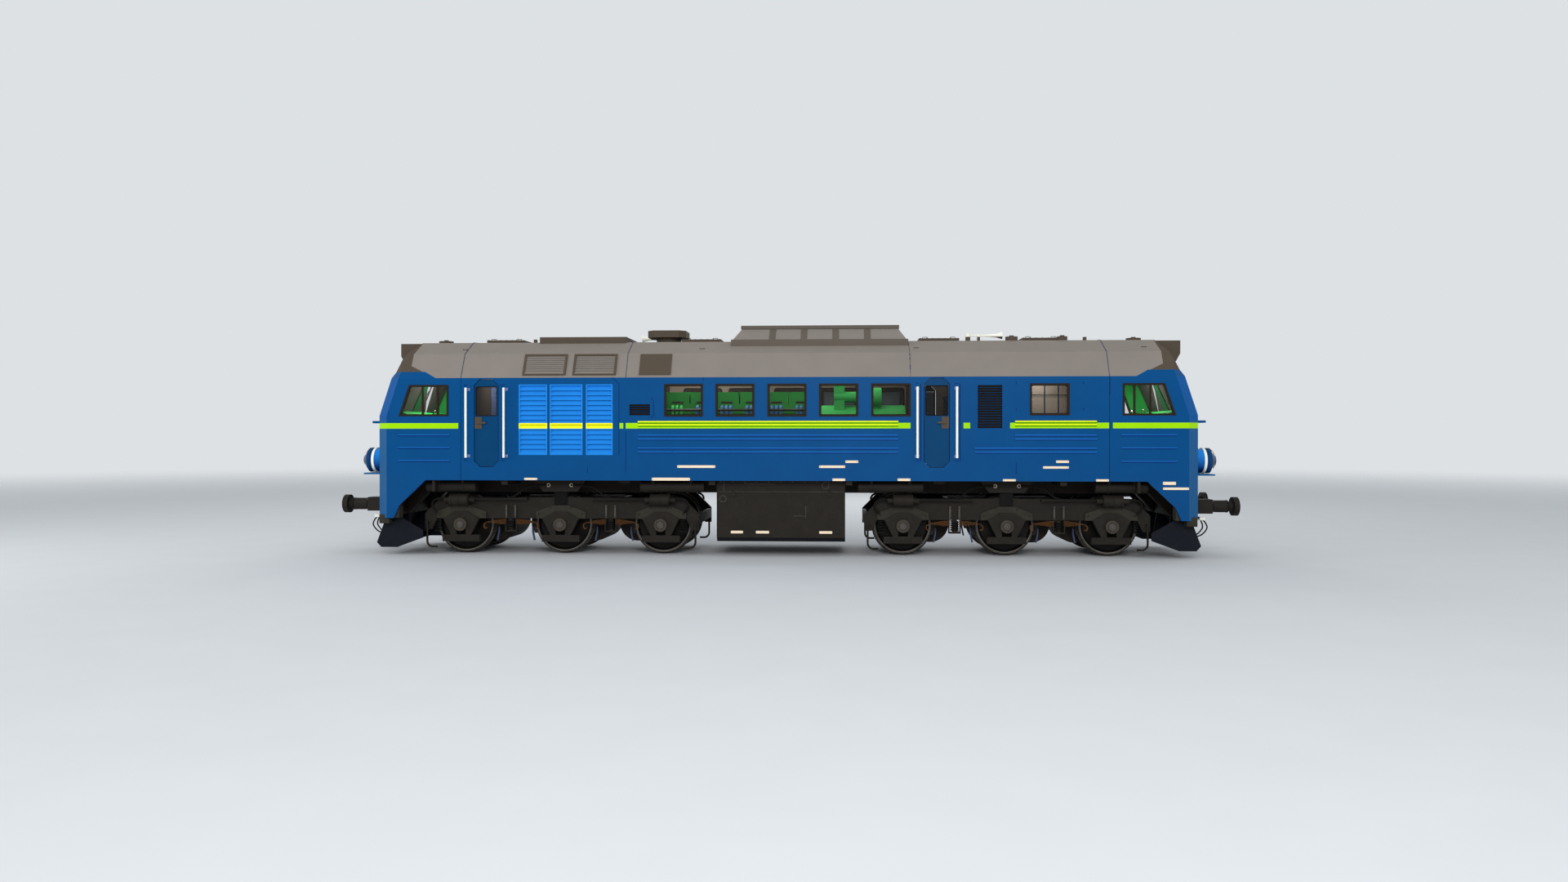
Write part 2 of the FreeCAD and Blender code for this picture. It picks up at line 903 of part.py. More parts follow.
def roof_ring(name, low, high):
    """The curved roof as a bent sheet standing on the side walls."""
    outer = [
        ("body_half_width", "gutter_z"),
        ("(body_half_width - shoulder_inset)", "shoulder_z"),
        ("(body_half_width - haunch_inset)", "haunch_z"),
    ]
    inner = [
        ("(body_half_width - haunch_inset) - roof_thickness / 2", "haunch_z - roof_thickness"),
        ("(body_half_width - shoulder_inset) - roof_thickness", "shoulder_z - roof_thickness / 2"),
        ("body_half_width - roof_thickness", "gutter_z"),
    ]
    right = [("0", "crown_z - roof_thickness")] + inner + outer
    left = [(f"-({y})", z) for y, z in reversed(inner + outer)]
    return prism(name, "yz", right + [("0", "crown_z")] + left, low, high)


def door_outline(left, inset):
    """An upright opening with its four corners cut at forty-five degrees."""
    low, high = f"{left} + {inset}", f"{left} + door_width - {inset}"
    near, far = f"{left} + door_corner", f"{left} + door_width - door_corner"
    return [
        (near, f"door_bottom_z + {inset}"),
        (far, f"door_bottom_z + {inset}"),
        (high, "door_bottom_z + door_corner"),
        (high, "door_top_z - door_corner"),
        (far, f"door_top_z - {inset}"),
        (near, f"door_top_z - {inset}"),
        (low, "door_top_z - door_corner"),
        (low, "door_bottom_z + door_corner"),
    ]


OUTER_Y = "-(body_half_width + cut_overrun)"
INNER_Y = "-(body_half_width - body_wall - cut_overrun)"
ENGINE_WINDOWS = ["-engine_window_1_x", "-engine_window_2_x", "-engine_window_3_x", "engine_window_4_x",
                  "engine_window_5_x"]
WINDOWS = [(left, "engine_window_width", "engine_window_bottom_z", "engine_window_height") for left in ENGINE_WINDOWS]
WINDOWS.append(("rear_window_x", "rear_window_width", "rear_window_bottom_z", "rear_window_height"))
SHUTTERS = [(f"-shutter_{number}_x", f"shutter_{number}_width") for number in (1, 2, 3)]
LOUVRES = [
    ("-small_louvre_x", "small_louvre_width", "small_louvre_bottom_z", "small_louvre_height", "small_louvre_slats"),
    ("big_louvre_x", "big_louvre_width", "big_louvre_bottom_z", "big_louvre_height", "big_louvre_slats"),
]
DOORS = {"a": ("-door_a_left_x", "right"), "b": ("door_b_left_x", "left")}


def side_opening(name, x, width, z, height, margin="0"):
    return block(
        name,
        (f"{x} - {margin}", f"{x} + {width} + {margin}"),
        (OUTER_Y, INNER_Y),
        (f"{z} - {margin}", f"{z} + {height} + {margin}"),
    )


def side_rib(name, low, high, z):
    return block(
        name,
        (low, high),
        ("-(body_half_width + rib_depth)", "-(body_half_width - rib_depth)"),
        (f"{z} - rib_height / 2", f"{z} + rib_height / 2"),
    )


def hinge_x(left, side):
    """The hinge pin stands in the gap between the leaf's edge and the opening."""
    if side == "left":
        return f"{left} + door_clearance / 2"
    return f"{left} + door_width - door_clearance / 2"


HINGE_Y = "-(body_half_width - body_wall - hinge_offset)"


def wall_hinges(name, left, side):
    """Knuckles on the wall's inner face that the door's pins stand in."""
    pin = hinge_x(left, side)
    knuckles, bores = [], []
    for level in ("low", "high"):
        low = f"hinge_{level}_z"
        high = f"hinge_{level}_z + hinge_height"
        away = (f"{pin} - hinge_plate_width", pin) if side == "left" else (pin, f"{pin} + hinge_plate_width")
        knuckles.append(rod(f"{name}_{level}_knuckle", "z", "hinge_knuckle_radius", low, high, x=pin, y=HINGE_Y))
        knuckles.append(
            block(
                f"{name}_{level}_plate",
                (f"{away[0]} - door_clearance / 2", f"{away[1]}") if side == "left" else
                (away[0], f"{away[1]} + door_clearance / 2"),
                (f"{HINGE_Y} - hinge_knuckle_radius / 3", f"{HINGE_Y} + hinge_knuckle_radius / 3"),
                (low, high),
            )
        )
        foot = (f"{pin} - hinge_plate_width", f"{pin} - door_clearance")
        if side == "right":
            foot = (f"{pin} + door_clearance", f"{pin} + hinge_plate_width")
        knuckles.append(
            block(f"{name}_{level}_foot", foot, ("-(body_half_width - body_wall)", HINGE_Y), (low, high))
        )
        bores.append(
            rod(
                f"{name}_{level}_bore",
                "z",
                "hinge_pin_radius + hinge_pin_gap",
                f"{low} - cut_overrun",
                f"{high} + cut_overrun",
                x=pin,
                y=HINGE_Y,
            )
        )
    return knuckles, bores


def build_side_walls():
    wall = block(
        "wall_sheet",
        ("-(cab_joint_x - seam_gap / 2)", "cab_joint_x - seam_gap / 2"),
        ("-body_half_width", "-(body_half_width - body_wall)"),
        ("body_bottom", "gutter_z"),
    )
    openings = []
    for index, window in enumerate(WINDOWS):
        openings.append(side_opening(f"window_cut_{index}", *window))
    for index, (left, width) in enumerate(SHUTTERS):
        openings.append(
            side_opening(f"shutter_cut_{index}", left, width, "shutter_bottom_z", "shutter_top_z - shutter_bottom_z", "seat")
        )
    for index, (left, width, low, height, _) in enumerate(LOUVRES):
        openings.append(side_opening(f"louvre_cut_{index}", left, width, low, height, "seat"))
    added, bores = [], []
    for letter, (left, side) in DOORS.items():
        openings.append(prism(f"door_{letter}_cut", "xz", door_outline(left, "0"), OUTER_Y, INNER_Y))
        knuckles, holes = wall_hinges(f"door_{letter}_hinge", left, side)
        added += knuckles
        bores += holes
    rows = [("stripe_rib_z", "stripe_rib_pitch", 3), ("upper_pair_z", "rib_pair_pitch", 2)]
    rows.append(("lower_pair_z", "rib_pair_pitch", 2))
    for base, pitch, count in rows:
        start = "low_rib_start_x" if base == "lower_pair_z" else "rear_rib_start_x"
        for index in range(count):
            height = f"{base} + rib_height / 2 + {index} * {pitch}"
            added.append(side_rib(f"rib_{base}_{index}_mid", "-long_rib_rear_x", "long_rib_front_x", height))
            added.append(side_rib(f"rib_{base}_{index}_rear", start, "rear_rib_end_x", height))
    near = cut("wall_near", fuse("wall_with_ribs", cut("wall_open", wall, *openings), *added), *bores)
    node("side_wall_near", near)
    node("side_wall_far", mirrored("wall_far", near, Y_AXIS))


def door_leaf(letter):
    """A door leaf with its window, lock plate, lever and hinge pins."""
    left, side = DOORS[letter]
    name = f"door_{letter}"
    outer = "-(body_half_width - door_recess)"
    leaf = prism(name + "_leaf", "xz", door_outline(left, "door_clearance"), outer, "-(body_half_width - body_wall)")
    margin = "(door_clearance + door_window_margin)"
    window = block(
        name + "_window",
        (f"{left} + {margin}", f"{left} + door_width - {margin}"),
        (OUTER_Y, INNER_Y),
        ("door_window_bottom_z", "door_window_top_z"),
    )
    lock = "(door_clearance + handle_plate_margin)"
    if side == "right":
        plate = (f"{left} + {lock}", f"{left} + {lock} + handle_plate_width")
        lever = (f"{plate[0]} + handle_plate_width / 2", f"{plate[0]} + handle_plate_width / 2 + lever_length")
    else:
        plate = (f"{left} + door_width - {lock} - handle_plate_width", f"{left} + door_width - {lock}")
        lever = (f"{plate[1]} - handle_plate_width / 2 - lever_length", f"{plate[1]} - handle_plate_width / 2")
    middle = "handle_plate_bottom_z + handle_plate_height / 2"
    pieces = [
        block(
            name + "_lock",
            plate,
            (f"{outer} - handle_plate_thickness", outer),
            ("handle_plate_bottom_z", "handle_plate_bottom_z + handle_plate_height"),
        ),
        block(
            name + "_lever",
            lever,
            (f"{outer} - handle_plate_thickness - lever_depth", f"{outer} - handle_plate_thickness"),
            (f"{middle} - lever_height / 2", f"{middle} + lever_height / 2"),
        ),
    ]
    boss = "handle_plate_width / 4"
    middle_x = f"{plate[0]} + handle_plate_width / 2"
    pieces.append(
        block(
            name + "_lever_boss",
            (f"{middle_x} - {boss} / 2", f"{middle_x} + {boss} / 2"),
            (f"{outer} - handle_plate_thickness - lever_depth", outer),
            (f"{middle} - lever_height / 2", f"{middle} + lever_height / 2"),
        )
    )
    pin = hinge_x(left, side)
    for level in ("low", "high"):
        base = f"hinge_{level}_z"
        reach = "(hinge_gap + hinge_strap_height)"
        pieces.append(
            rod(
                f"{name}_{level}_pin",
                "z",
                "hinge_pin_radius",
                f"{base} - {reach}",
                f"{base} + hinge_height + {reach}",
                x=pin,
                y=HINGE_Y,
            )
        )
        past = "hinge_pin_radius * 3 / 2"
        if side == "left":
            strap = (f"{pin} - {past}", f"{pin} + hinge_strap_length")
            root = (f"{left} + door_clearance", strap[1])
        else:
            strap = (f"{pin} - hinge_strap_length", f"{pin} + {past}")
            root = (strap[0], f"{left} + door_width - door_clearance")
        for index, low in enumerate((f"{base} - {reach}", f"{base} + hinge_height + hinge_gap")):
            limits = (low, f"{low} + hinge_strap_height")
            face = "-(body_half_width - body_wall - hinge_gap)"
            pieces.append(block(f"{name}_{level}_strap_{index}", strap, (face, f"{HINGE_Y} + {past}"), limits))
            pieces.append(
                block(
                    f"{name}_{level}_root_{index}",
                    root,
                    ("-(body_half_width - door_recess - hinge_gap)", f"{HINGE_Y} + {past}"),
                    limits,
                )
            )
    return fuse(name, cut(name + "_glazed", leaf, window), *pieces)


def build_doors():
    for letter in DOORS:
        leaf = door_leaf(letter)
        node(f"door_{letter}_near", leaf)
        node(f"door_{letter}_far", mirrored(f"door_{letter}_mirror", leaf, Y_AXIS))


def build_windows():
    """Frames that stand in the window openings, and one pane in each frame."""
    face, back = "-(body_half_width + frame_proud)", "-(body_half_width - body_wall)"
    pane = ("-(body_half_width - body_wall / 2)", "-(body_half_width - body_wall / 2 - pane_thickness)")
    inside = "frame_width"
    frames, panes = [], []
    for index, (left, width, low, height) in enumerate(WINDOWS):
        right, top = f"{left} + {width}", f"{low} + {height}"
        ring = cut(
            f"window_frame_{index}",
            block(f"frame_out_{index}", (f"{left} + seat", f"{right} - seat"), (face, back),
                  (f"{low} + seat", f"{top} - seat")),
            block(f"frame_in_{index}", (f"{left} + {inside}", f"{right} - {inside}"), (OUTER_Y, INNER_Y),
                  (f"{low} + {inside}", f"{top} - {inside}")),
        )
        frames.append(ring)
        panes.append(
            block(f"pane_{index}", (f"{left} + {inside} + seat", f"{right} - {inside} - seat"), pane,
                  (f"{low} + {inside} + seat", f"{top} - {inside} - seat"))
        )
    cab_frame = cut(
        "cab_window_frame",
        prism("cab_frame_out", "xz", cab_window_outline("seat"), face, back),
        prism("cab_frame_in", "xz", cab_window_outline(inside), OUTER_Y, INNER_Y),
    )
    mullions = []
    for place in ("rear", "front"):
        middle = f"cab_mullion_{place}_x"
        mullions.append(
            block(
                f"cab_mullion_{place}",
                (f"{middle} - mullion_width / 2", f"{middle} + mullion_width / 2"),
                (face, f"{pane[0]} - seat"),
                ("cab_window_bottom_z + frame_width / 2", "cab_window_top_z - frame_width / 2"),
            )
        )
    cab_frame = fuse("cab_window_barred", cab_frame, *mullions)
    cab_pane = prism("cab_pane", "xz", cab_window_outline(f"{inside} + seat"), *pane)
    front = "(nose_x - eave_x) / (eave_z - knee_z)"

    def screen_x(level, depth):
        return f"nose_x - ({level} - knee_z) * {front} - {depth}"

    low, high = "windscreen_bottom_z + seat", "windscreen_top_z - seat"
    screen = prism(
        "windscreen",
        "xz",
        [
            (screen_x(low, "body_wall / 2"), low),
            (screen_x(low, "(body_wall / 2 + pane_thickness)"), low),
            (screen_x(high, "(body_wall / 2 + pane_thickness)"), high),
            (screen_x(high, "body_wall / 2"), high),
        ],
        "windscreen_inner_y + seat",
        "(body_half_width - corner_inset - windscreen_margin) - seat",
    )
    frame_set = [both_sides("window_frame_set", together("window_frames_near", *frames))]
    frame_set.append(four_ways("cab_frame_set", cab_frame))
    node("window_frames", together("window_frame_all", *frame_set))
    pane_set = [both_sides("pane_set", together("panes_near", *panes))]
    pane_set += [four_ways("cab_pane_set", cab_pane), four_ways("windscreen_set", screen)]
    node("window_panes", together("window_pane_all", *pane_set))


def build_side_grilles():
    shutters = []
    for index, (left, width) in enumerate(SHUTTERS):
        panel = slatted_panel(
            f"shutter_{index}",
            left,
            width,
            "shutter_bottom_z",
            "(shutter_top_z - shutter_bottom_z)",
            "shutter_depth",
            "shutter_slats",
            "shutter_frame",
            "shutter_lean_share",
            False,
        )
        shutters.append(moved(f"shutter_{index}_set", panel, y="-body_half_width"))
    node("radiator_shutters", both_sides("shutter_all", together("shutters_near", *shutters)))
    louvres = []
    for index, (left, width, low, height, count) in enumerate(LOUVRES):
        panel = slatted_panel(
            f"louvre_{index}", left, width, low, height, "shutter_depth", count, "louvre_frame", "louvre_lean_share", True
        )
        louvres.append(moved(f"louvre_{index}_set", panel, y="-body_half_width"))
    node("side_louvres", both_sides("louvre_all", together("louvres_near", *louvres)))


def roof_lean(name, item, x, low):
    """Lays an upright panel against the lower slope of the roof."""
    copy = together(name, item)
    copy.Placement.Rotation = FreeCAD.Rotation(-X_AXIS, 1)
    copy.setExpression("Placement.Rotation.Angle", bound("atan((body_half_width - (body_half_width - shoulder_inset)) / (shoulder_z - gutter_z))"))
    across = f"-body_half_width + ({low} - gutter_z) * (body_half_width - (body_half_width - shoulder_inset)) / (shoulder_z - gutter_z)"
    set_base(copy, x=x, y=across, z=low)
    return copy


def build_roof(roof_solid):
    grille_cuts = []
    for number in (1, 2):
        for side, (low, high) in {"near": ("-body_half_width", "-(body_half_width - haunch_inset)"), "far": ("(body_half_width - haunch_inset)", "body_half_width")}.items():
            grille_cuts.append(
                block(
                    f"grille_cut_{number}_{side}",
                    (f"-grille_{number}_x + grille_frame", f"-grille_{number}_x + grille_width - grille_frame"),
                    (low, high),
                    ("grille_bottom_z + grille_frame", "grille_top_z - grille_frame"),
                )
            )
    duct_hole = rod(
        "duct_hole",
        "z",
        "fan_duct_radius + fan_duct_wall + seat",
        "shoulder_z",
        "crown_z + cut_overrun",
        x="-fan_x",
    )
    half_gap = "seam_gap / 2"
    cooling = roof_ring("roof_cooling_sheet", f"-(cab_joint_x - {half_gap})", f"-(roof_seam_rear_x + {half_gap})")
    node("roof_cooling", cut("roof_cooling_open", cooling, duct_hole, *grille_cuts))
    node("roof_engine", roof_ring("roof_engine_sheet", f"-(roof_seam_rear_x - {half_gap})", f"roof_seam_front_x - {half_gap}"))
    node("roof_rear", roof_ring("roof_rear_sheet", f"roof_seam_front_x + {half_gap}", f"cab_joint_x - {half_gap}"))
    slope = "(grille_top_z - grille_bottom_z) / cos(atan(shoulder_inset / (shoulder_z - gutter_z)))"
    panels = []
    for number in (1, 2):
        panel = slatted_panel(
            f"roof_grille_{number}",
            "0",
            "grille_width",
            "0",
            f"({slope})",
            "grille_depth",
            "grille_slats",
            "grille_frame",
            "louvre_lean_share",
            True,
        )
        shifted = moved(f"roof_grille_{number}_out", panel, y="-(grille_depth + seat)")
        panels.append(roof_lean(f"roof_grille_{number}_set", shifted, f"-grille_{number}_x", "grille_bottom_z"))
    side_panel = block(
        "roof_side_panel",
        ("0", "roof_panel_width"),
        ("-(roof_panel_thickness + seat)", "-seat"),
        ("0", f"{slope}"),
    )
    panels.append(roof_lean("roof_side_panel_set", side_panel, "-roof_panel_x", "grille_bottom_z"))
    node("roof_grilles", both_sides("roof_grille_all", together("roof_grilles_near", *panels)))


def build_fan(roof_solid):
    middle = {"x": "-fan_x"}
    frame = cut(
        "fan_frame",
        block(
            "fan_frame_block",
            ("-fan_x - fan_frame_length / 2", "-fan_x + fan_frame_length / 2"),
            ("-fan_frame_half_width", "fan_frame_half_width"),
            ("fan_frame_bottom_z", "fan_frame_top_z"),
        ),
        roof_solid,
    )
    duct = rod("fan_duct_outer", "z", "fan_duct_radius + fan_duct_wall", "fan_duct_bottom_z", "fan_frame_top_z", **middle)
    bore = rod(
        "fan_duct_bore",
        "z",
        "fan_duct_radius",
        "fan_duct_bottom_z - cut_overrun",
        "fan_frame_top_z + cut_overrun",
        **middle,
    )
    bars = []
    for index in range(SIZES["fan_guard_bars"]):
        across = f"-fan_duct_radius + 2 * fan_duct_radius * {index + 1} / {SIZES['fan_guard_bars'] + 1}"
        bars.append(
            block(
                f"fan_guard_{index}",
                ("-fan_x - fan_frame_length / 2 + fan_guard_bar", "-fan_x + fan_frame_length / 2 - fan_guard_bar"),
                (f"{across} - fan_guard_bar / 2", f"{across} + fan_guard_bar / 2"),
                ("fan_frame_top_z - fan_guard_bar", "fan_frame_top_z + fan_guard_bar / 2"),
            )
        )
    bearing_top = "fan_hub_bottom_z - fan_duct_wall / 2"
    bearing_low = f"{bearing_top} - fan_bearing_height"
    reach = "fan_duct_radius + fan_duct_wall / 2"
    arms = [
        block(
            "fan_arm_along",
            (f"-fan_x - {reach}", f"-fan_x + {reach}"),
            ("-fan_arm_width / 2", "fan_arm_width / 2"),
            (bearing_low, bearing_top),
        ),
        block(
            "fan_arm_across",
            ("-fan_x - fan_arm_width / 2", "-fan_x + fan_arm_width / 2"),
            (f"-({reach})", reach),
            (bearing_low, bearing_top),
        ),
        rod("fan_bearing", "z", "fan_bearing_radius", bearing_low, bearing_top, **middle),
    ]
    shaft_bore = rod(
        "fan_bearing_bore",
        "z",
        "fan_shaft_radius + journal_gap",
        f"{bearing_low} - cut_overrun",
        f"{bearing_top} + cut_overrun",
        **middle,
    )
    shell = cut("fan_shell", fuse("fan_shell_solid", frame, duct), bore)
    node("fan_housing", cut("fan_housing_bored", fuse("fan_housing_body", shell, *bars, *arms), shaft_bore))
    blade = block(
        "fan_blade",
        ("fan_hub_radius - cut_overrun", "fan_radius"),
        ("-fan_blade_chord / 2", "fan_blade_chord / 2"),
        ("-fan_blade_thickness / 2", "fan_blade_thickness / 2"),
    )
    pitched = together("fan_blade_pitched", blade)
    pitched.Placement.Rotation = FreeCAD.Rotation(X_AXIS, 1)
    pitched.setExpression("Placement.Rotation.Angle", bound("fan_blade_pitch_deg"))
    blades = []
    for index in range(SIZES["fan_blades"]):
        turn = together(f"fan_blade_{index}", pitched)
        turn.Placement.Rotation = FreeCAD.Rotation(Z_AXIS, 360 * index / SIZES["fan_blades"])
        set_base(turn, x="-fan_x", z="fan_hub_bottom_z + fan_hub_height / 2")
        blades.append(turn)
    hub = rod("fan_hub", "z", "fan_hub_radius", "fan_hub_bottom_z", "fan_hub_bottom_z + fan_hub_height", **middle)
    shaft = rod("fan_shaft", "z", "fan_shaft_radius", bearing_low, "fan_hub_bottom_z + fan_hub_height / 2", **middle)
    node("fan_rotor", fuse("fan_rotor_body", hub, shaft, *blades))


def monitor_slopes(name, proud):
    """The leaning sides of the monitor, moved out by a distance."""
    body = doc.addObject("Part::Wedge", name)
    body.Placement.Rotation = FreeCAD.Rotation(X_AXIS, 90)
    lip, inset = "monitor_cap_lip", "monitor_cap_inset"
    for prop, text in {
        "Xmin": f"-monitor_rear_x + {lip}",
        "Xmax": f"monitor_front_x - seam_gap - {lip}",
        "Ymin": "monitor_base_top_z - cut_overrun",
        "Ymax": "monitor_cap_bottom_z",
        "Zmin": f"-(monitor_base_half_width - {lip} + {proud})",
        "Zmax": f"monitor_base_half_width - {lip} + {proud}",
        "X2min": f"-monitor_rear_x + {inset}",
        "X2max": f"monitor_front_x - {inset}",
        "Z2min": f"-(monitor_cap_half_width + {proud})",
        "Z2max": f"monitor_cap_half_width + {proud}",
    }.items():
        body.setExpression(prop, bound(text))
    return body


def build_monitor(roof_solid):
    base = block(
        "monitor_base",
        ("-monitor_rear_x", "monitor_front_x - seam_gap"),
        ("-monitor_base_half_width", "monitor_base_half_width"),
        ("monitor_base_bottom_z", "monitor_base_top_z"),
    )
    lip, inset = "monitor_cap_lip", "monitor_cap_inset"
    cap = block(
        "monitor_cap",
        (f"-monitor_rear_x + {inset} - {lip}", f"monitor_front_x - {inset} + {lip}"),
        (f"-(monitor_cap_half_width + {lip})", f"monitor_cap_half_width + {lip}"),
        ("monitor_cap_bottom_z", "monitor_cap_bottom_z + monitor_cap_thickness"),
    )
    strips = []
    for index in range(SIZES["monitor_posts"]):
        middle = f"-monitor_post_x + {index} * monitor_post_pitch"
        strips.append(
            block(
                f"monitor_strip_{index}",
                (f"{middle} - monitor_post_width / 2", f"{middle} + monitor_post_width / 2"),
                ("-monitor_base_half_width", "monitor_base_half_width"),
                ("monitor_base_bottom_z", "monitor_cap_bottom_z"),
            )
        )
    posts = common("monitor_posts", monitor_slopes("monitor_post_form", "monitor_post_proud"),
                   together("monitor_strips", *strips))
    body = fuse("roof_monitor_body", base, monitor_slopes("monitor_form", "0"), posts, cap)
    node("roof_monitor", cut("roof_monitor_seated", body, roof_solid))


def roof_vent(name, radius, top, x, y):
    """A drum with a knob on its lid."""
    drum = rod(name + "_drum", "z", radius, "shoulder_z", top, x=x, y=y)
    knob = rod(name + "_knob", "z", "vent_knob_radius", top, f"{top} + vent_knob_height", x=x, y=y)
    return fuse(name, drum, knob)


def build_roof_fittings(roof_solid, cab_solid):
    hatches = []
    for number, sign in ((1, "-"), (2, "-"), (3, ""), (4, "")):
        start = f"{sign}hatch_{number}_x"
        hatches.append(
            block(
                f"hatch_{number}",
                (start, f"{start} + hatch_{number}_length"),
                ("-hatch_half_width", "hatch_half_width"),
                ("haunch_z", "hatch_top_z"),
            )
        )
    wide, facet = "exhaust_cap_half_width", "exhaust_cap_facet"
    corners = [(wide, facet), (facet, wide)]
    corners += [(f"-{x}", y) for x, y in reversed(corners)]
    corners += [(f"-{x}" if not x.startswith("-") else x[1:], f"-{y}") for x, y in corners]
    cap_form = prism("exhaust_cap_form", "xy", corners, "0", "exhaust_cap_height")
    cap = moved("exhaust_cap", cap_form, x="-exhaust_x", z="exhaust_cap_bottom_z")
    neck = rod("exhaust_neck", "z", "exhaust_neck_radius", "haunch_z - cut_overrun", "exhaust_cap_bottom_z + cut_overrun",
               x="-exhaust_x")
    exhaust = cut("exhaust_set", fuse("exhaust", cap, neck), roof_solid)
    hatch_2 = cut("hatch_2_round", hatches[1], rod("hatch_2_bite", "z", "exhaust_neck_radius + seat", "haunch_z",
                                                  "exhaust_cap_bottom_z", x="-exhaust_x"))
    hatches[1] = hatch_2
    seated = [cut(f"hatch_{index}_seated", hatch, roof_solid) for index, hatch in enumerate(hatches)]
    vent = roof_vent("vent", "vent_radius", "vent_top_z", "vent_x", "-vent_y")
    small = roof_vent("small_vent", "small_vent_radius", "small_vent_top_z", "small_vent_x", "-vent_y")
    cab_vent = roof_vent("cab_vent", "cab_vent_radius", "cab_vent_top_z", "cab_vent_x", "0")
    pieces = seated + [exhaust]
    pieces.append(cut("vent_seated", vent, roof_solid))
    pieces.append(cut("small_vent_seated", small, roof_solid))
    pieces.append(both_ends("cab_vents", cut("cab_vent_seated", cab_vent, cab_solid)))
    node("roof_fittings", together("roof_fitting_all", *pieces))


def horn(name, x, direction, across, rise):
    """A trumpet that widens towards its bell, on a driver and a clip."""
    middle = f"horn_z + {rise}"
    centre = {"y": across, "z": middle}
    bends = [("0", "horn_throat_radius"), ("horn_length * 0.35", "horn_throat_radius"), ("horn_length * 0.8", "horn_mid_radius"),
             ("horn_length", "horn_bell_radius")]
    pieces = []
    for index, ((start, narrow), (end, wide)) in enumerate(zip(bends[:-1], bends[1:])):
        near, far = f"{x} + {direction} * {start}", f"{x} + {direction} * {end}"
        title = f"{name}_part_{index}"
        if narrow == wide:
            pieces.append(rod(title, "x", wide, *((near, far) if direction > 0 else (far, near)), **centre))
        elif direction > 0:
            pieces.append(cone(title, "x", narrow, wide, near, far, **centre))
        else:
            pieces.append(cone(title, "x", wide, narrow, far, near, **centre))
    clip = f"{x} + {direction} * horn_clip_offset"
    pieces.append(rod(name + "_driver", "z", "horn_driver_radius", "shoulder_z", f"{middle} + horn_driver_height",
                      x=f"{x} - {direction} * horn_driver_radius", y=across))
    pieces.append(rod(name + "_clip", "z", "horn_clip_radius", "shoulder_z", f"{middle} + horn_clip_radius", x=clip, y=across))
    return fuse(name, *pieces)


def build_horns(roof_solid):
    horns = []
    beside_fan = "-fan_x + fan_frame_length / 2 + horn_fan_gap + horn_length"
    sets = (("a", beside_fan, -1, "horn_y", "horn_a_rise"), ("b", "horn_b_x", 1, "-horn_y", "0"))
    for letter, place, direction, across, rise in sets:
        item = horn(f"horn_{letter}", place, direction, across, rise)
        horns.append(cut(f"horn_{letter}_seated", item, roof_solid))
    node("horns", together("horn_pair", *horns))


def build_lamps(cab_solid):
    head = prism(
        "headlight_box",
        "xz",
        [
            ("headlight_rear_x", "headlight_low_z"),
            ("headlight_low_x", "headlight_low_z"),
            ("headlight_front_x", "headlight_chin_z"),
            ("headlight_front_x", "headlight_top_z"),
            ("headlight_rear_x", "headlight_top_z"),
        ],
        "-headlight_half_width",
        "headlight_half_width",
    )
    head = cut("headlight_seated", head, cab_solid)
    ring_end = "nose_x + lamp_length + lamp_ring_length"
    centre = {"y": "-lamp_y", "z": "lamp_z"}
    body = rod("lamp_body", "x", "lamp_radius", "nose_x", "nose_x + lamp_length", **centre)
    rim = rod("lamp_rim", "x", "lamp_ring_radius", "nose_x + lamp_length", ring_end, **centre)
    well = rod("lamp_well", "x", "lamp_ring_radius - lamp_ring_wall", "nose_x + lamp_length", f"{ring_end} + cut_overrun",
               **centre)
    shelf = block(
        "lamp_shelf",
        ("nose_x", "nose_x + lamp_shelf_reach"),
        ("-lamp_y - lamp_shelf_width / 2", "-lamp_y + lamp_shelf_width / 2"),
        ("lamp_z - lamp_shelf_drop - lamp_shelf_thickness", "lamp_z - lamp_shelf_drop"),
    )
    post = block(
        "lamp_post",
        ("nose_x", "nose_x + lamp_length / 2"),
        ("-lamp_y - lamp_ring_wall", "-lamp_y + lamp_ring_wall"),
        ("lamp_z - lamp_shelf_drop", "lamp_z - lamp_radius / 2"),
    )
    lamp = cut("lamp", fuse("lamp_solid", body, rim, shelf, post), well)
    node("lamp_housings", together("lamp_all", both_ends("headlights", head), four_ways("nose_lamps", lamp)))
    dome_radius = "lamp_ring_radius - lamp_ring_wall - seat"
    base = rod("lens_base", "x", dome_radius, "nose_x + lamp_length + seat", ring_end, **centre)
    dome = cone("lens_dome", "x", dome_radius, f"({dome_radius}) / 2", ring_end, f"{ring_end} + lamp_dome_reach", **centre)
    head_lens = rod(
        "headlight_lens",
        "x",
        "headlight_lens_radius",
        "headlight_front_x + seat",
        "headlight_front_x + lens_depth",
        y="-headlight_half_width / 2",
        z="headlight_lens_z",
    )
    lenses = [four_ways("nose_lenses", fuse("nose_lens", base, dome)), four_ways("head_lenses", head_lens)]
    node("lamp_lenses", together("lens_all", *lenses))


def handrail(name, x):
    """An upright rail held off the side by a foot at each end."""
    across = "-(body_half_width + rail_reach)"
    upright = rod(name + "_bar", "z", "rail_radius", "rail_bottom_z", "rail_top_z", x=x, y=across)
    feet = []
    for level, low in (("low", "rail_bottom_z"), ("high", "rail_top_z - rail_foot")):
        feet.append(
            block(
                f"{name}_{level}_foot",
                (f"{x} - rail_foot / 2", f"{x} + rail_foot / 2"),
                (across, "-(body_half_width + seat)"),
                (low, f"{low} + rail_foot"),
            )
        )
    return fuse(name, upright, *feet)


def build_handrails():
    rails = [handrail(f"rail_{index}", x) for index, x in enumerate(("-rail_a1_x", "-rail_a2_x", "rail_b1_x", "rail_b2_x"))]
    node("handrails", both_sides("rail_all", together("rails_near", *rails)))


# Underframe and end gear


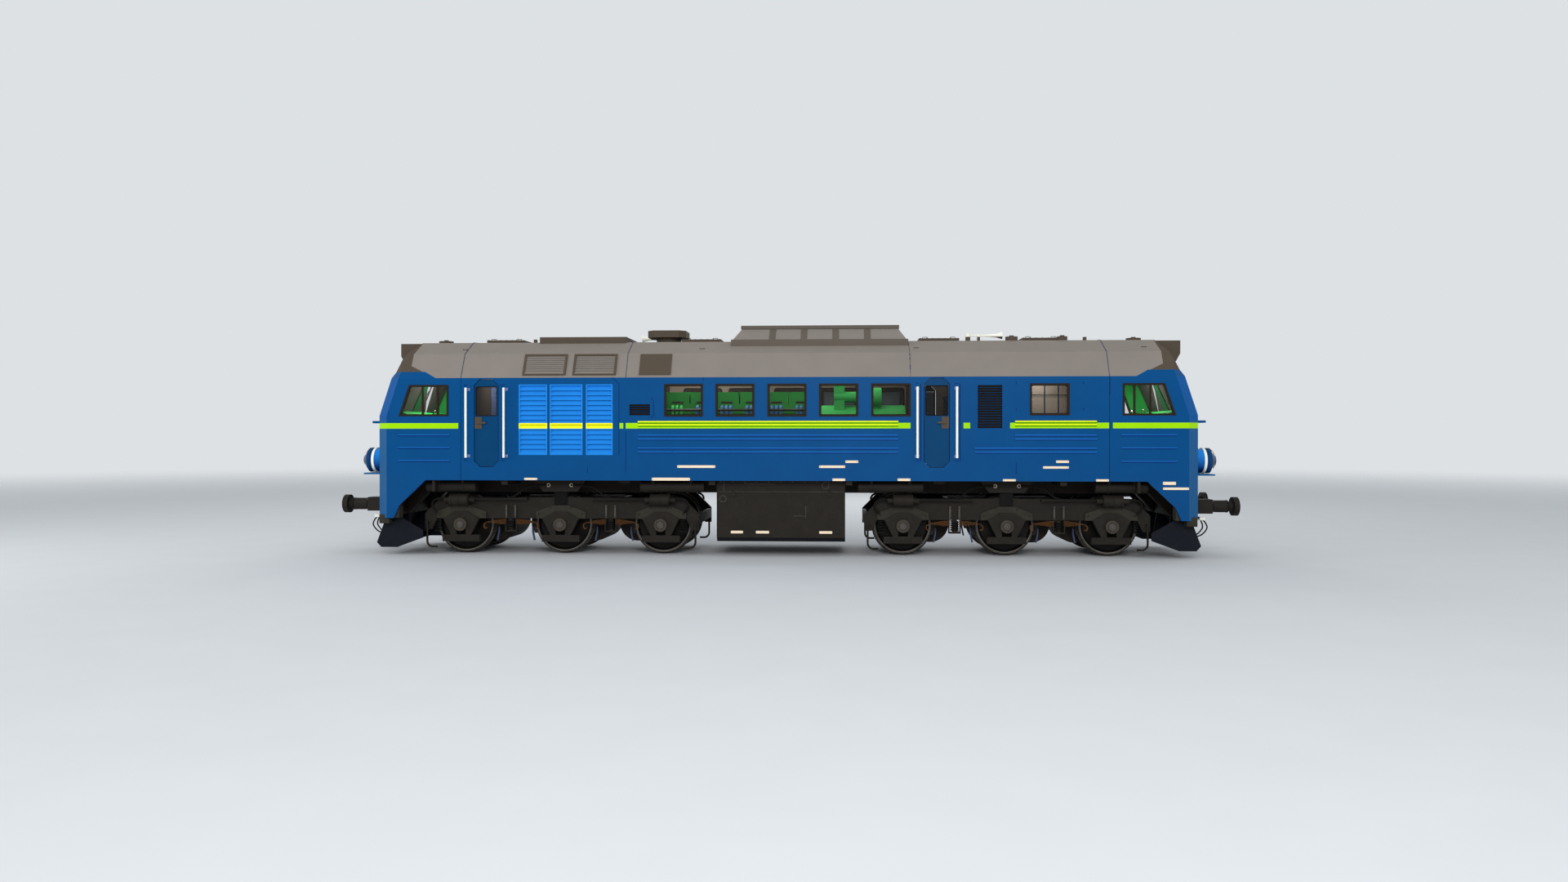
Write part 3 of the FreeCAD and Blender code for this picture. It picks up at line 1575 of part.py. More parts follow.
def build_underframe():
    width = "body_half_width - body_wall - seat"
    pieces = [
        block("floor", ("-floor_end_x", "floor_end_x"), (f"-({width})", width), ("body_bottom", "body_bottom + floor_thickness"))
    ]
    sill = block("sill", ("-floor_end_x", "floor_end_x"), ("sill_y", "sill_y + sill_width"), ("sill_bottom_z", "body_bottom"))
    pieces.append(both_sides("sills", sill))
    headstock = block(
        "headstock",
        ("nose_x - body_wall - seat - headstock_depth", "nose_x - body_wall - seat"),
        ("-(body_half_width - headstock_inset)", "(body_half_width - headstock_inset)"),
        ("headstock_bottom_z", "headstock_bottom_z + headstock_height"),
    )
    knee = prism(
        "headstock_knee",
        "xz",
        [
            ("nose_x - body_wall - seat - headstock_depth", "headstock_bottom_z"),
            ("nose_x - body_wall - seat", "headstock_bottom_z"),
            ("nose_x - body_wall - seat", "body_bottom + floor_thickness"),
            ("skirt_mid_x - headstock_depth", "body_bottom + floor_thickness"),
            ("skirt_mid_x - headstock_depth", "sill_bottom_z"),
        ],
        "sill_y",
        "sill_y + sill_width",
    )
    pieces.append(both_ends("headstocks", headstock))
    pieces.append(four_ways("headstock_knees", knee))
    for name, place in (("inner", "bearer_x"), ("outer", "bearer_outer_x")):
        bearer = block(
            f"bearer_{name}",
            (f"{place} - bearer_width / 2", f"{place} + bearer_width / 2"),
            (f"-({width})", width),
            ("body_bottom - bearer_depth", "body_bottom"),
        )
        pieces.append(both_ends(f"bearers_{name}", bearer))
    pivot = "pivot_spacing / 2"
    bolster = block(
        "body_bolster",
        (f"{pivot} - pivot_post_radius", f"{pivot} + pivot_post_radius"),
        ("-sill_y - cut_overrun", "sill_y + cut_overrun"),
        ("sill_bottom_z", "body_bottom"),
    )
    post = rod("pivot_post", "z", "pivot_post_radius", "pivot_post_bottom_z", "body_bottom", x=pivot)
    pin = rod("pivot_pin", "z", "pivot_pin_radius", "pivot_pin_bottom_z", "body_bottom", x=pivot)
    pieces += [both_ends("body_bolsters", bolster), both_ends("pivot_posts", post), both_ends("pivot_pins", pin)]
    side_bearer = prism(
        "side_bearer",
        "xz",
        [
            (f"{pivot} - side_bearer_low_half", "side_bearer_bottom_z"),
            (f"{pivot} + side_bearer_low_half", "side_bearer_bottom_z"),
            (f"{pivot} + side_bearer_top_half", "body_bottom"),
            (f"{pivot} - side_bearer_top_half", "body_bottom"),
        ],
        "side_bearer_y - side_bearer_width / 2",
        "side_bearer_y + side_bearer_width / 2",
    )
    pieces.append(four_ways("side_bearers", side_bearer))
    jack = block(
        "jack_block",
        ("jack_x - jack_width / 2", "jack_x + jack_width / 2"),
        ("jack_y - jack_width / 2", "jack_y + jack_width / 2"),
        ("body_bottom - jack_drop", "body_bottom"),
    )
    node("underframe", fuse("underframe_body", *pieces, four_ways("jacks", jack)))


def build_tank():
    half, top = "(body_half_width - tank_inset)", "body_bottom - seat"
    points = [
        (f"-{half}", top),
        (f"-{half}", "tank_side_bottom_z"),
        (f"-({half} - tank_chamfer)", "tank_bottom_z"),
        (f"{half} - tank_chamfer", "tank_bottom_z"),
        (half, "tank_side_bottom_z"),
        (half, top),
    ]
    tank = prism("tank_body", "yz", points, "-tank_half_length", "tank_half_length")
    slot = block(
        "tank_slot",
        ("-(tank_half_length + cut_overrun)", "tank_half_length + cut_overrun"),
        ("sill_y - seat", "sill_y + sill_width + seat"),
        ("sill_bottom_z - seat", "body_bottom + cut_overrun"),
    )
    caps = []
    for index, (x, z) in enumerate((("-tank_half_length * 3 / 4", "sill_bottom_z"), ("tank_half_length * 3 / 4", "sill_bottom_z"))):
        caps.append(
            rod(f"tank_cap_{index}", "y", "tank_cap_radius", "-((body_half_width - tank_inset) + tank_cap_reach)", "-(body_half_width - tank_inset) + seat",
                x=x, z=z)
        )
    tank = cut("tank_slotted", tank, both_sides("tank_slots", slot))
    node("fuel_tank", fuse("fuel_tank_body", tank, both_sides("tank_caps", together("tank_caps_near", *caps))))


def reservoir(name, start, length):
    """An air reservoir along the side, hung from the floor by two straps."""
    centre = {"y": "-(body_half_width - reservoir_inset)", "z": "reservoir_z"}
    pieces = [rod(name + "_drum", "x", "reservoir_radius", start, f"{start} + {length}", **centre)]
    for index, x in enumerate((f"{start} + strap_inset", f"{start} + {length} - strap_inset")):
        limits = (f"{x} - strap_width / 2", f"{x} + strap_width / 2")
        half = "reservoir_radius + strap_proud"
        pieces.append(rod(f"{name}_strap_{index}", "x", half, *limits, **centre))
        pieces.append(
            block(
                f"{name}_hanger_{index}",
                limits,
                (f"-(body_half_width - reservoir_inset) - {half}", f"-(body_half_width - reservoir_inset) + {half}"),
                ("reservoir_z", "body_bottom - seat"),
            )
        )
    return fuse(name, *pieces)


def build_reservoirs():
    sets = []
    for letter in ("a", "b"):
        item = reservoir(f"reservoir_{letter}", f"reservoir_{letter}_x", f"reservoir_{letter}_length")
        sets.append(four_ways(f"reservoir_{letter}_set", item))
    node("air_reservoirs", together("reservoir_all", *sets))


def build_buffers():
    centre = {"y": "-buffer_y", "z": "buffer_z"}
    flange = block(
        "buffer_flange_plate",
        ("nose_x", "nose_x + buffer_flange_thickness"),
        ("-buffer_y - buffer_flange / 2", "-buffer_y + buffer_flange / 2"),
        ("buffer_z - buffer_flange / 2", "buffer_z + buffer_flange / 2"),
    )
    box_end = "nose_x + buffer_housing_length"
    end = f"{box_end} + buffer_sleeve_length"
    box = block(
        "buffer_box",
        ("nose_x", box_end),
        ("-buffer_y - buffer_housing_half", "-buffer_y + buffer_housing_half"),
        ("buffer_z - buffer_housing_half", "buffer_z + buffer_housing_half"),
    )
    sleeve = rod("buffer_sleeve", "x", "buffer_sleeve_radius", "nose_x", end, **centre)
    bore = rod("buffer_bore", "x", "buffer_shank_radius + seat", f"{end} - buffer_bore_depth", f"{end} + cut_overrun", **centre)
    housing = cut("buffer_housing", fuse("buffer_housing_solid", flange, box, sleeve), bore)
    node("buffer_housings", four_ways("buffer_housing_all", housing))
    back = "buffer_face_x - buffer_head_thickness"
    crown = "buffer_face_x - buffer_crown"
    plunger = fuse(
        "buffer_plunger",
        rod("buffer_shank", "x", "buffer_shank_radius", f"{end} - buffer_bore_depth + seat", back, **centre),
        rod("buffer_head", "x", "buffer_head_radius", back, crown, **centre),
        cone("buffer_crown_form", "x", "buffer_head_radius", "buffer_head_radius - buffer_crown_inset", crown, "buffer_face_x",
             **centre),
    )
    node("buffer_plungers", four_ways("buffer_plunger_all", plunger))


def build_draw_gear():
    start = "nose_x - body_wall"
    half = "hook_shank / 2"
    hook = prism(
        "hook_plate_form",
        "xz",
        [
            (start, f"hook_z - {half}"),
            (f"hook_front_x - 2 * hook_shank", f"hook_z - {half}"),
            (f"hook_front_x - hook_shank / 2", f"hook_z - {half}"),
            ("hook_front_x", f"hook_z + {half}"),
            ("hook_front_x - hook_shank / 3", f"hook_z + hook_rise"),
            ("hook_front_x - hook_shank", f"hook_z + hook_rise"),
            ("hook_front_x - hook_shank * 2 / 3", f"hook_z + {half} + hook_shank / 3"),
            ("hook_front_x - hook_shank * 3 / 2", f"hook_z + {half}"),
            (start, f"hook_z + {half}"),
        ],
        "-hook_plate / 2",
        "hook_plate / 2",
    )
    pin_x = "hook_front_x - 2 * hook_shank"
    reach = "link_half_width + link_bar_radius"
    pin_hole = rod("link_pin_hole", "y", "link_bar_radius + seat", "-hook_plate", "hook_plate", x=pin_x, z="hook_z")
    hook = cut("hook", hook, pin_hole)
    bars = [
        rod("link_pin", "y", "link_bar_radius", f"-({reach})", reach, x=pin_x, z="hook_z"),
        rod("link_foot", "y", "link_bar_radius", f"-({reach})", reach, x=pin_x, z="hook_z - link_length"),
    ]
    side = rod("link_side", "z", "link_bar_radius", "hook_z - link_length", "hook_z", x=pin_x, y="link_half_width")
    link = fuse("screw_link", *bars, both_sides("link_sides", side))
    node("draw_gear", together("draw_gear_all", both_ends("hooks", hook), both_ends("screw_links", link)))


def build_air_hoses():
    centre = {"y": "-hose_y"}
    end = "nose_x + cock_reach"
    cock = rod("cock", "x", "cock_radius", "nose_x + seat", end, z="cock_z", **centre)
    loop = doc.addObject("Part::Torus", "hose_loop")
    loop.setExpression("Radius1", bound("hose_loop_radius"))
    loop.setExpression("Radius2", bound("hose_radius"))
    loop.Angle3 = 180
    loop.Placement.Rotation = FreeCAD.Rotation(Y_AXIS, 90).multiply(FreeCAD.Rotation(X_AXIS, 90))
    set_base(loop, x=end, y="-hose_y", z="cock_z - hose_loop_radius")
    low = "cock_z - 2 * hose_loop_radius"
    blade = f"plough_lip_x - ({low} - plough_lip_z) * (plough_lip_x - plough_top_x) / (headstock_bottom_z - plough_lip_z)"
    tail = rod("hose_tail", "x", "hose_radius", f"{blade} + hose_radius", end, z=low, **centre)
    node("air_hoses", four_ways("hose_all", fuse("air_hose", cock, loop, tail)))


def build_plough():
    top = "headstock_bottom_z - seat"
    blade = prism(
        "plough_blade",
        "xz",
        [
            ("plough_top_x", top),
            ("plough_lip_x", "plough_lip_z"),
            ("plough_toe_x", "plough_bottom_z"),
            ("plough_toe_x - plough_plate", "plough_bottom_z"),
            ("plough_lip_x - plough_plate", "plough_lip_z"),
            ("plough_top_x - plough_plate", top),
        ],
        "-(body_half_width - plough_inset)",
        "(body_half_width - plough_inset)",
    )
    cheek = prism(
        "plough_cheek",
        "xz",
        [
            ("skirt_front_x + cut_overrun", top),
            ("plough_top_x - plough_plate / 2", top),
            ("plough_lip_x - plough_plate / 2", "plough_lip_z"),
            ("plough_toe_x - plough_plate / 2", "plough_bottom_z"),
            ("plough_heel_x", "plough_bottom_z"),
            ("plough_rear_x", "plough_rear_bottom_z"),
            ("plough_rear_x", "plough_rear_top_z"),
        ],
        "(body_half_width - plough_inset) - plough_plate",
        "(body_half_width - plough_inset)",
    )
    rib = prism(
        "plough_rib",
        "xz",
        [
            ("nose_x - headstock_depth", top),
            ("plough_top_x - plough_plate / 2", top),
            ("plough_lip_x - plough_plate / 2", "plough_lip_z"),
            ("plough_heel_x", "plough_rear_bottom_z"),
        ],
        "sill_y",
        "sill_y + plough_plate",
    )
    plough = fuse("plough", blade, both_sides("plough_cheeks", cheek), both_sides("plough_ribs", rib))
    node("snow_ploughs", both_ends("plough_pair", plough))


# Bogies


def build_wheelsets():
    back, width = "wheel_back_y", "wheel_width"
    middle = f"({back} + {width} / 2)"
    web, hub = "web_thickness / 2", "wheel_hub_width / 2"
    wheel = turned(
        "wheel",
        [
            (back, "rim_inner_radius"),
            (back, "flange_radius - flange_width / 3"),
            (f"{back} + flange_width / 3", "flange_radius"),
            (f"{back} + flange_width * 2 / 3", "flange_radius"),
            (f"{back} + flange_width", "tread_radius"),
            (f"{back} + {width}", "tread_radius"),
            (f"{back} + {width}", "rim_inner_radius"),
            (f"{middle} + {web}", "rim_inner_radius - rim_recess"),
            (f"{middle} + {web}", "wheel_hub_radius + rim_recess"),
            (f"{middle} + {hub}", "wheel_hub_radius"),
            (f"{middle} + {hub}", "axle_radius / 2"),
            (f"{middle} - {hub}", "axle_radius / 2"),
            (f"{middle} - {hub}", "wheel_hub_radius"),
            (f"{middle} - {web}", "wheel_hub_radius + rim_recess"),
            (f"{middle} - {web}", "rim_inner_radius - rim_recess"),
        ],
    )
    axle = rod("axle", "y", "axle_radius", "-journal_start_y", "journal_start_y")
    journals = rod("journals", "y", "journal_radius", "-journal_end_y", "journal_end_y")
    wheelset = fuse("wheelset", axle, journals, both_sides("wheels", wheel))
    number = 1
    for side in ("-", ""):
        for step in ("- axle_pitch", "", "+ axle_pitch"):
            place = f"{side}pivot_spacing / 2 {step}"
            node(f"wheelset_{number}", moved(f"wheelset_at_{number}", wheelset, x=place, z="flange_radius"))
            number += 1


AXLES = ["-axle_pitch", "0", "axle_pitch"]


def arch_outline(axle, grow):
    """The opening over an axle box, wide below and flat on top."""
    return [
        (f"{axle} - arch_half_width", "frame_bottom_z - cut_overrun"),
        (f"{axle} + arch_half_width", "frame_bottom_z - cut_overrun"),
        (f"{axle} + arch_half_width", f"frame_bottom_z + {grow}"),
        (f"{axle} + arch_top_half", f"arch_top_z + {grow}"),
        (f"{axle} - arch_top_half", f"arch_top_z + {grow}"),
        (f"{axle} - arch_half_width", f"frame_bottom_z + {grow}"),
    ]


def bogie_frame():
    inner, outer = "side_frame_y", "side_frame_y + side_frame_thickness"
    rise = "(frame_top_z - frame_end_z)"
    foot = "axle_pitch + band_half_width"
    points = [
        (f"-({foot})", "frame_bottom_z"),
        (foot, "frame_bottom_z"),
        (f"{foot} + frame_end_foot", "frame_end_bottom_z"),
        ("frame_half_length", "frame_end_bottom_z"),
        ("frame_half_length", "frame_end_z"),
        (f"frame_half_length - {rise}", "frame_top_z"),
        (f"-(frame_half_length - {rise})", "frame_top_z"),
        ("-frame_half_length", "frame_end_z"),
        ("-frame_half_length", "frame_end_bottom_z"),
        (f"-({foot} + frame_end_foot)", "frame_end_bottom_z"),
    ]
    plate = prism("side_frame_plate", "xz", points, inner, outer)
    arches, bands, posts = [], [], []
    for index, axle in enumerate(AXLES):
        arches.append(
            prism(f"arch_{index}", "xz", arch_outline(axle, "0"), f"{inner} - cut_overrun", f"{outer} + band_proud + cut_overrun")
        )
        bands.append(
            prism(
                f"arch_band_{index}",
                "xz",
                [
                    (f"{axle} - band_half_width", "frame_bottom_z"),
                    (f"{axle} + band_half_width", "frame_bottom_z"),
                    (f"{axle} + band_half_width", "band_knee_z"),
                    (f"{axle} + band_top_half", "band_top_z"),
                    (f"{axle} - band_top_half", "band_top_z"),
                    (f"{axle} - band_half_width", "band_knee_z"),
                ],
                outer,
                f"{outer} + band_proud",
            )
        )
    for index, middle in enumerate(("-axle_pitch / 2", "axle_pitch / 2")):
        for side, offset in (("a", "- hanger_offset"), ("b", "+ hanger_offset")):
            posts.append(
                block(
                    f"hanger_{index}_{side}",
                    (f"{middle} {offset} - hanger_width / 2", f"{middle} {offset} + hanger_width / 2"),
                    (outer, f"{outer} + hanger_proud"),
                    ("hanger_bottom_z", "hanger_top_z"),
                )
            )
    pad = block(
        "bearing_pad",
        ("-bearing_pad_half", "bearing_pad_half"),
        (inner, f"{outer} + band_proud"),
        ("bearing_pad_bottom_z", "bearing_pad_top_z"),
    )
    side = cut("side_frame", fuse("side_frame_solid", plate, *bands, *posts, pad), *arches)
    across = ("-(side_frame_y + cut_overrun)", "side_frame_y + cut_overrun")
    beams = []
    for index, middle in enumerate(("-axle_pitch / 2", "axle_pitch / 2")):
        beams.append(
            block(
                f"transom_{index}",
                (f"{middle} - transom_half_width", f"{middle} + transom_half_width"),
                across,
                ("transom_bottom_z", "transom_top_z"),
            )
        )
    for index, sign in enumerate(("-", "")):
        start = f"{sign}(frame_half_length - end_beam_depth)"
        limits = (start, f"{start} + end_beam_depth") if index else (f"-frame_half_length", start)
        beams.append(block(f"end_beam_{index}", limits, across, ("end_beam_bottom_z", "end_beam_top_z")))
    bolster = block(
        "bogie_bolster",
        ("-axle_pitch / 2", "axle_pitch / 2"),
        ("-bolster_half_width", "bolster_half_width"),
        ("bolster_bottom_z", "bolster_top_z"),
    )
    hole = rod(
        "pivot_hole",
        "z",
        "pivot_pin_radius + pivot_gap",
        "bolster_bottom_z - cut_overrun",
        "bolster_top_z + cut_overrun",
    )
    return cut("bogie_frame_bored", fuse("bogie_frame_body", both_sides("side_frames", side), *beams, bolster), hole)


def axle_boxes():
    """Housings under the arches, narrowing to a foot bar, with a round cap over each journal."""
    low, high = "box_plate_y", "box_plate_y + box_plate_thickness"
    boxes = []
    for index, axle in enumerate(AXLES):
        plate = prism(
            f"box_plate_{index}",
            "xz",
            [
                (f"{axle} - box_foot_half", "box_foot_z"),
                (f"{axle} - box_bar_half", "box_foot_z"),
                (f"{axle} - box_bar_half", "box_bar_z"),
                (f"{axle} + box_bar_half", "box_bar_z"),
                (f"{axle} + box_bar_half", "box_foot_z"),
                (f"{axle} + box_foot_half", "box_foot_z"),
                (f"{axle} + arch_half_width - seat", "frame_bottom_z - seat"),
                (f"{axle} + arch_top_half - seat", "arch_top_z - seat"),
                (f"{axle} - arch_top_half + seat", "arch_top_z - seat"),
                (f"{axle} - arch_half_width + seat", "frame_bottom_z - seat"),
            ],
            low,
            high,
        )
        cap = rod(f"box_cap_{index}", "y", "cap_radius", high, f"{high} + cap_reach", x=axle, z="flange_radius")
        slot = block(
            f"box_slot_{index}",
            (f"{axle} - box_slot_half", f"{axle} + box_slot_half"),
            (f"{low} - cut_overrun", f"{high} + cut_overrun"),
            ("box_slot_bottom_z", "box_slot_bottom_z + box_slot_height"),
        )
        bore = rod(
            f"box_bore_{index}",
            "y",
            "journal_radius + journal_gap",
            f"{low} - cut_overrun",
            "journal_end_y + 10 * journal_gap",
            x=axle,
            z="flange_radius",
        )
        solid = fuse(f"box_solid_{index}", cut(f"box_open_{index}", plate, slot), cap)
        boxes.append(cut(f"box_{index}", solid, bore))
    return both_sides("axle_box_set", together("axle_boxes_far", *boxes))


def bogie_springs():
    """Between the axles, a leaf pack either side of a coil spring on its seat."""
    low, high = "spring_y", "spring_y + leaf_width"
    middle = f"(spring_y + leaf_width / 2)"
    leaf = prism(
        "leaf_pack",
        "xz",
        [
            ("leaf_gap_half", "leaf_centre_bottom_z"),
            ("leaf_half_length", "leaf_end_bottom_z"),
            ("leaf_half_length", "leaf_end_top_z"),
            ("leaf_gap_half", "leaf_top_z"),
        ],
        low,
        high,
    )
    seat_plate = block(
        "coil_seat",
        ("-coil_seat_half", "coil_seat_half"),
        (low, high),
        ("coil_seat_z", "coil_bottom_z"),
    )
    strap = block(
        "coil_strap",
        ("leaf_gap_half - coil_wire / 2", "coil_seat_half"),
        (low, high),
        ("coil_seat_z", "frame_bottom_z - seat"),
    )
    coil = rod("coil", "z", "coil_radius", "coil_bottom_z", "coil_top_z - seat", y=middle)
    unit = fuse("spring_unit", seat_plate, coil, both_ends("leaf_pair", leaf), both_ends("coil_straps", strap))
    units = [moved(f"spring_{index}", unit, x=place) for index, place in enumerate(("-axle_pitch / 2", "axle_pitch / 2"))]
    return both_sides("spring_set", together("springs_far", *units))


def brake_shoe(name, axle, direction):
    """A curved shoe against the tread, hung from a stub on the side frame."""
    inner, outer = "tread_radius + shoe_gap", "tread_radius + shoe_gap + shoe_thickness"
    centre = {"x": axle, "z": "flange_radius"}
    width = ("shoe_y", "shoe_y + shoe_width")
    ring = cut(
        name + "_ring",
        rod(name + "_outer", "y", outer, *width, **centre),
        rod(name + "_inner", "y", inner, "shoe_y - cut_overrun", "shoe_y + shoe_width + cut_overrun", **centre),
    )
    span = (axle, f"{axle} + {outer}") if direction > 0 else (f"{axle} - ({outer})", axle)
    shoe = common(
        name + "_shoe",
        ring,
        block(name + "_window", span, width, ("flange_radius - shoe_half_height", "flange_radius + shoe_half_height")),
    )
    back = f"{axle} + {direction} * ({outer})"
    hanger_x = (f"{back} - shoe_thickness / 3", f"{back} + shoe_hanger_width") if direction > 0 else (
        f"{back} - shoe_hanger_width", f"{back} + shoe_thickness / 3")
    hanger = block(name + "_hanger", hanger_x, ("shoe_y", "shoe_y + shoe_hanger_depth"),
                   ("flange_radius - shoe_half_height / 3", "frame_bottom_z + 3 * brake_beam_radius"))
    stub_x = f"{back} + {direction} * shoe_hanger_width / 2"
    stub = rod(name + "_stub", "y", "brake_beam_radius", "shoe_y", "side_frame_y - seat", x=stub_x,
               z="frame_bottom_z + 2 * brake_beam_radius")
    return fuse(name, shoe, hanger, stub)


def brake_cylinder(name, axle, direction):
    centre = {"y": "cylinder_y", "z": "cylinder_z"}
    outer = "side_frame_y + side_frame_thickness + seat"
    pipe_end = f"{axle} - {direction} * axle_pitch * 2 / 3"
    pipe = (pipe_end, axle) if direction > 0 else (axle, pipe_end)
    pieces = [
        rod(name + "_barrel", "x", "cylinder_radius", f"{axle} - cylinder_half_length", f"{axle} + cylinder_half_length", **centre),
        rod(name + "_rod", "x", "cylinder_rod_radius", f"{axle} - cylinder_rod_half", f"{axle} + cylinder_rod_half", **centre),
        rod(name + "_pipe", "x", "pipe_radius", *pipe, y="cylinder_y", z="pipe_z"),
        block(name + "_foot", (f"{axle} - cylinder_half_length / 2", f"{axle} + cylinder_half_length / 2"),
              (outer, "cylinder_y"), ("cylinder_z - cylinder_rod_radius", "cylinder_z + cylinder_rod_radius")),
        block(name + "_clip", (f"{pipe_end} - pipe_radius", f"{pipe_end} + pipe_radius"), (outer, "cylinder_y + pipe_radius"),
              ("pipe_z - pipe_radius", "pipe_z + pipe_radius")),
    ]
    return fuse(name, *pieces)


def sand_pipe(name):
    """A pipe down the end of the side frame, bent towards the rail at the outer wheel."""
    centre = {"y": "sand_pipe_y"}
    down = rod(name + "_drop", "z", "sand_pipe_radius", "sand_pipe_bend_z", "sand_pipe_top_z", x="sand_pipe_x", **centre)
    bend = doc.addObject("Part::Torus", name + "_bend")
    bend.setExpression("Radius1", bound("sand_pipe_bend_radius"))
    bend.setExpression("Radius2", bound("sand_pipe_radius"))
    bend.Angle3 = 90
    bend.Placement.Rotation = FreeCAD.Rotation(X_AXIS, -90)
    set_base(bend, x="sand_pipe_x - sand_pipe_bend_radius", y="sand_pipe_y", z="sand_pipe_bend_z")
    foot_z = "sand_pipe_bend_z - sand_pipe_bend_radius"
    foot_x = "sand_pipe_x - sand_pipe_bend_radius"
    foot = rod(name + "_foot", "x", "sand_pipe_radius", f"{foot_x} - sand_pipe_reach", foot_x, z=foot_z, **centre)
    clip = block(
        name + "_clip",
        ("sand_pipe_x - sand_pipe_radius", "sand_pipe_x + sand_pipe_radius"),
        ("side_frame_y + side_frame_thickness + seat", "sand_pipe_y + sand_pipe_radius"),
        ("sand_pipe_top_z - 2 * sand_pipe_radius", "sand_pipe_top_z"),
    )
    return fuse(name, down, bend, foot, clip)


def brake_gear():
    far = []
    for index, (axle, direction) in enumerate((("-axle_pitch", 1), ("0", -1), ("0", 1), ("axle_pitch", -1))):
        far.append(brake_shoe(f"shoe_{index}", axle, direction))
    far.append(brake_cylinder("cylinder_low", "-axle_pitch", -1))
    far.append(brake_cylinder("cylinder_high", "axle_pitch", 1))
    far.append(both_ends("sand_pipes", sand_pipe("sand_pipe")))
    return both_sides("brake_set", together("brakes_far", *far))


def traction_motors():
    motors = []
    for index, (axle, direction) in enumerate((("-axle_pitch", 1), ("0", 1), ("axle_pitch", -1))):
        name = f"motor_{index}"
        middle = f"{axle} + {direction} * motor_offset"
        case = ("gear_case_y", "gear_case_y + gear_case_width")
        beam = "-axle_pitch / 2" if index == 0 else "axle_pitch / 2"
        face = f"{beam} - {direction} * (transom_half_width + seat)"
        bracket = (middle, face) if direction > 0 else (face, middle)
        span = (axle, middle) if direction > 0 else (middle, axle)
        solid = fuse(
            name + "_solid",
            rod(name + "_drum", "y", "motor_radius", "-motor_half_width", "motor_half_width", x=middle, z="flange_radius"),
            rod(name + "_case_axle", "y", "gear_case_radius", *case, x=axle, z="flange_radius"),
            rod(name + "_case_motor", "y", "gear_case_radius * 2 / 3", "motor_half_width", case[1], x=middle, z="flange_radius"),
            block(name + "_case_mid", span, case, ("flange_radius - gear_case_radius / 2", "flange_radius + gear_case_radius / 2")),
            block(name + "_bracket", bracket, ("-motor_bracket_half_width", "motor_bracket_half_width"),
                  ("motor_bracket_z", "motor_bracket_z + motor_bracket_height")),
        )
        bore = rod(name + "_bore", "y", "axle_radius + suspension_gap", "-journal_start_y", "journal_start_y",
                   x=axle, z="flange_radius")
        motors.append(cut(name, solid, bore))
    return together("motor_set", *motors)


def build_bogies():
    pieces = {
        "frame": bogie_frame(),
        "axle_boxes": axle_boxes(),
        "springs": bogie_springs(),
        "brake_gear": brake_gear(),
        "motors": traction_motors(),
    }
    for letter, side in (("a", "-"), ("b", "")):
        for name, item in pieces.items():
            node(f"bogie_{letter}_{name}", moved(f"bogie_{letter}_{name}_at", item, x=f"{side}pivot_spacing / 2"))


# Engine room and cabs


def build_engine():
    half, wide = "engine_half_width", "engine_bank_half_width"
    right = [
        (half, "body_bottom + floor_thickness + seat"),
        (half, "engine_block_top_z - rocker_box_width"),
        (wide, "engine_block_top_z"),
        (wide, "engine_bank_z"),
        ("rocker_box_y", "engine_bank_z"),
        ("0", "engine_block_top_z"),
    ]
    left = [(f"-{y}", z) for y, z in reversed(right[:-1])]
    block_form = prism("engine_block", "yz", right + left, "-engine_rear_x", "engine_front_x")
    boxes = []
    for index in range(SIZES["rocker_boxes"]):
        start = f"-engine_rear_x + rocker_box_pitch / 3 + {index} * rocker_box_pitch"
        boxes.append(
            block(
                f"rocker_box_{index}",
                (start, f"{start} + rocker_box_length"),
                ("rocker_box_y", "rocker_box_y + rocker_box_width"),
                ("engine_bank_z", "engine_bank_z + rocker_box_height"),
            )
        )
    manifold = rod("manifold", "x", "manifold_radius", "-engine_rear_x", "engine_front_x", z="manifold_z")
    rows = both_sides("rocker_boxes", together("rocker_boxes_far", *boxes))
    node("engine", fuse("engine_body", block_form, rows, manifold))


def build_radiators():
    cores = []
    for index, (left, width) in enumerate(SHUTTERS):
        start = f"{left} + radiator_lobby_gap" if index == 0 else left
        cores.append(
            block(
                f"radiator_core_{index}",
                (start, f"{left} + {width}"),
                ("-(body_half_width - radiator_inset)", "-(body_half_width - radiator_inset - radiator_thickness)"),
                ("body_bottom + floor_thickness + seat", "shutter_top_z"),
            )
        )
    header = block(
        "radiator_header",
        (f"{SHUTTERS[0][0]} + radiator_lobby_gap", f"{SHUTTERS[-1][0]} + {SHUTTERS[-1][1]}"),
        ("-(body_half_width - radiator_inset)", "-(body_half_width - radiator_inset - radiator_thickness)"),
        ("shutter_top_z", "shutter_top_z + radiator_header_height"),
    )
    node("radiator_cores", both_sides("radiator_all", fuse("radiator_near", *cores, header)))


def build_generator():
    centre = {"z": "generator_z"}
    end = "generator_x + generator_length"
    pieces = [
        rod("generator_drum", "x", "generator_radius", "generator_x", end, **centre),
        block("generator_foot", ("generator_x", end), ("-generator_foot_half", "generator_foot_half"),
              ("body_bottom + floor_thickness + seat", "generator_z")),
        block("charger", ("charger_x", "charger_x + charger_length"), ("-charger_half_width", "charger_half_width"),
              ("generator_z", "charger_top_z")),
        rod("charger_duct", "x", "duct_radius", "charger_x", "duct_collar_x", y="-duct_y", z="duct_z"),
        rod("duct_collar", "x", "duct_collar_radius", "duct_collar_x", "duct_collar_x + duct_collar_length", y="-duct_y", z="duct_z"),
        block("duct_stand", ("duct_collar_x", "duct_collar_x + duct_collar_length"),
              ("-(duct_y + duct_radius / 2)", "-(duct_y - duct_radius / 2)"), ("generator_z", "duct_z")),
    ]
    node("generator", fuse("generator_body", *pieces))


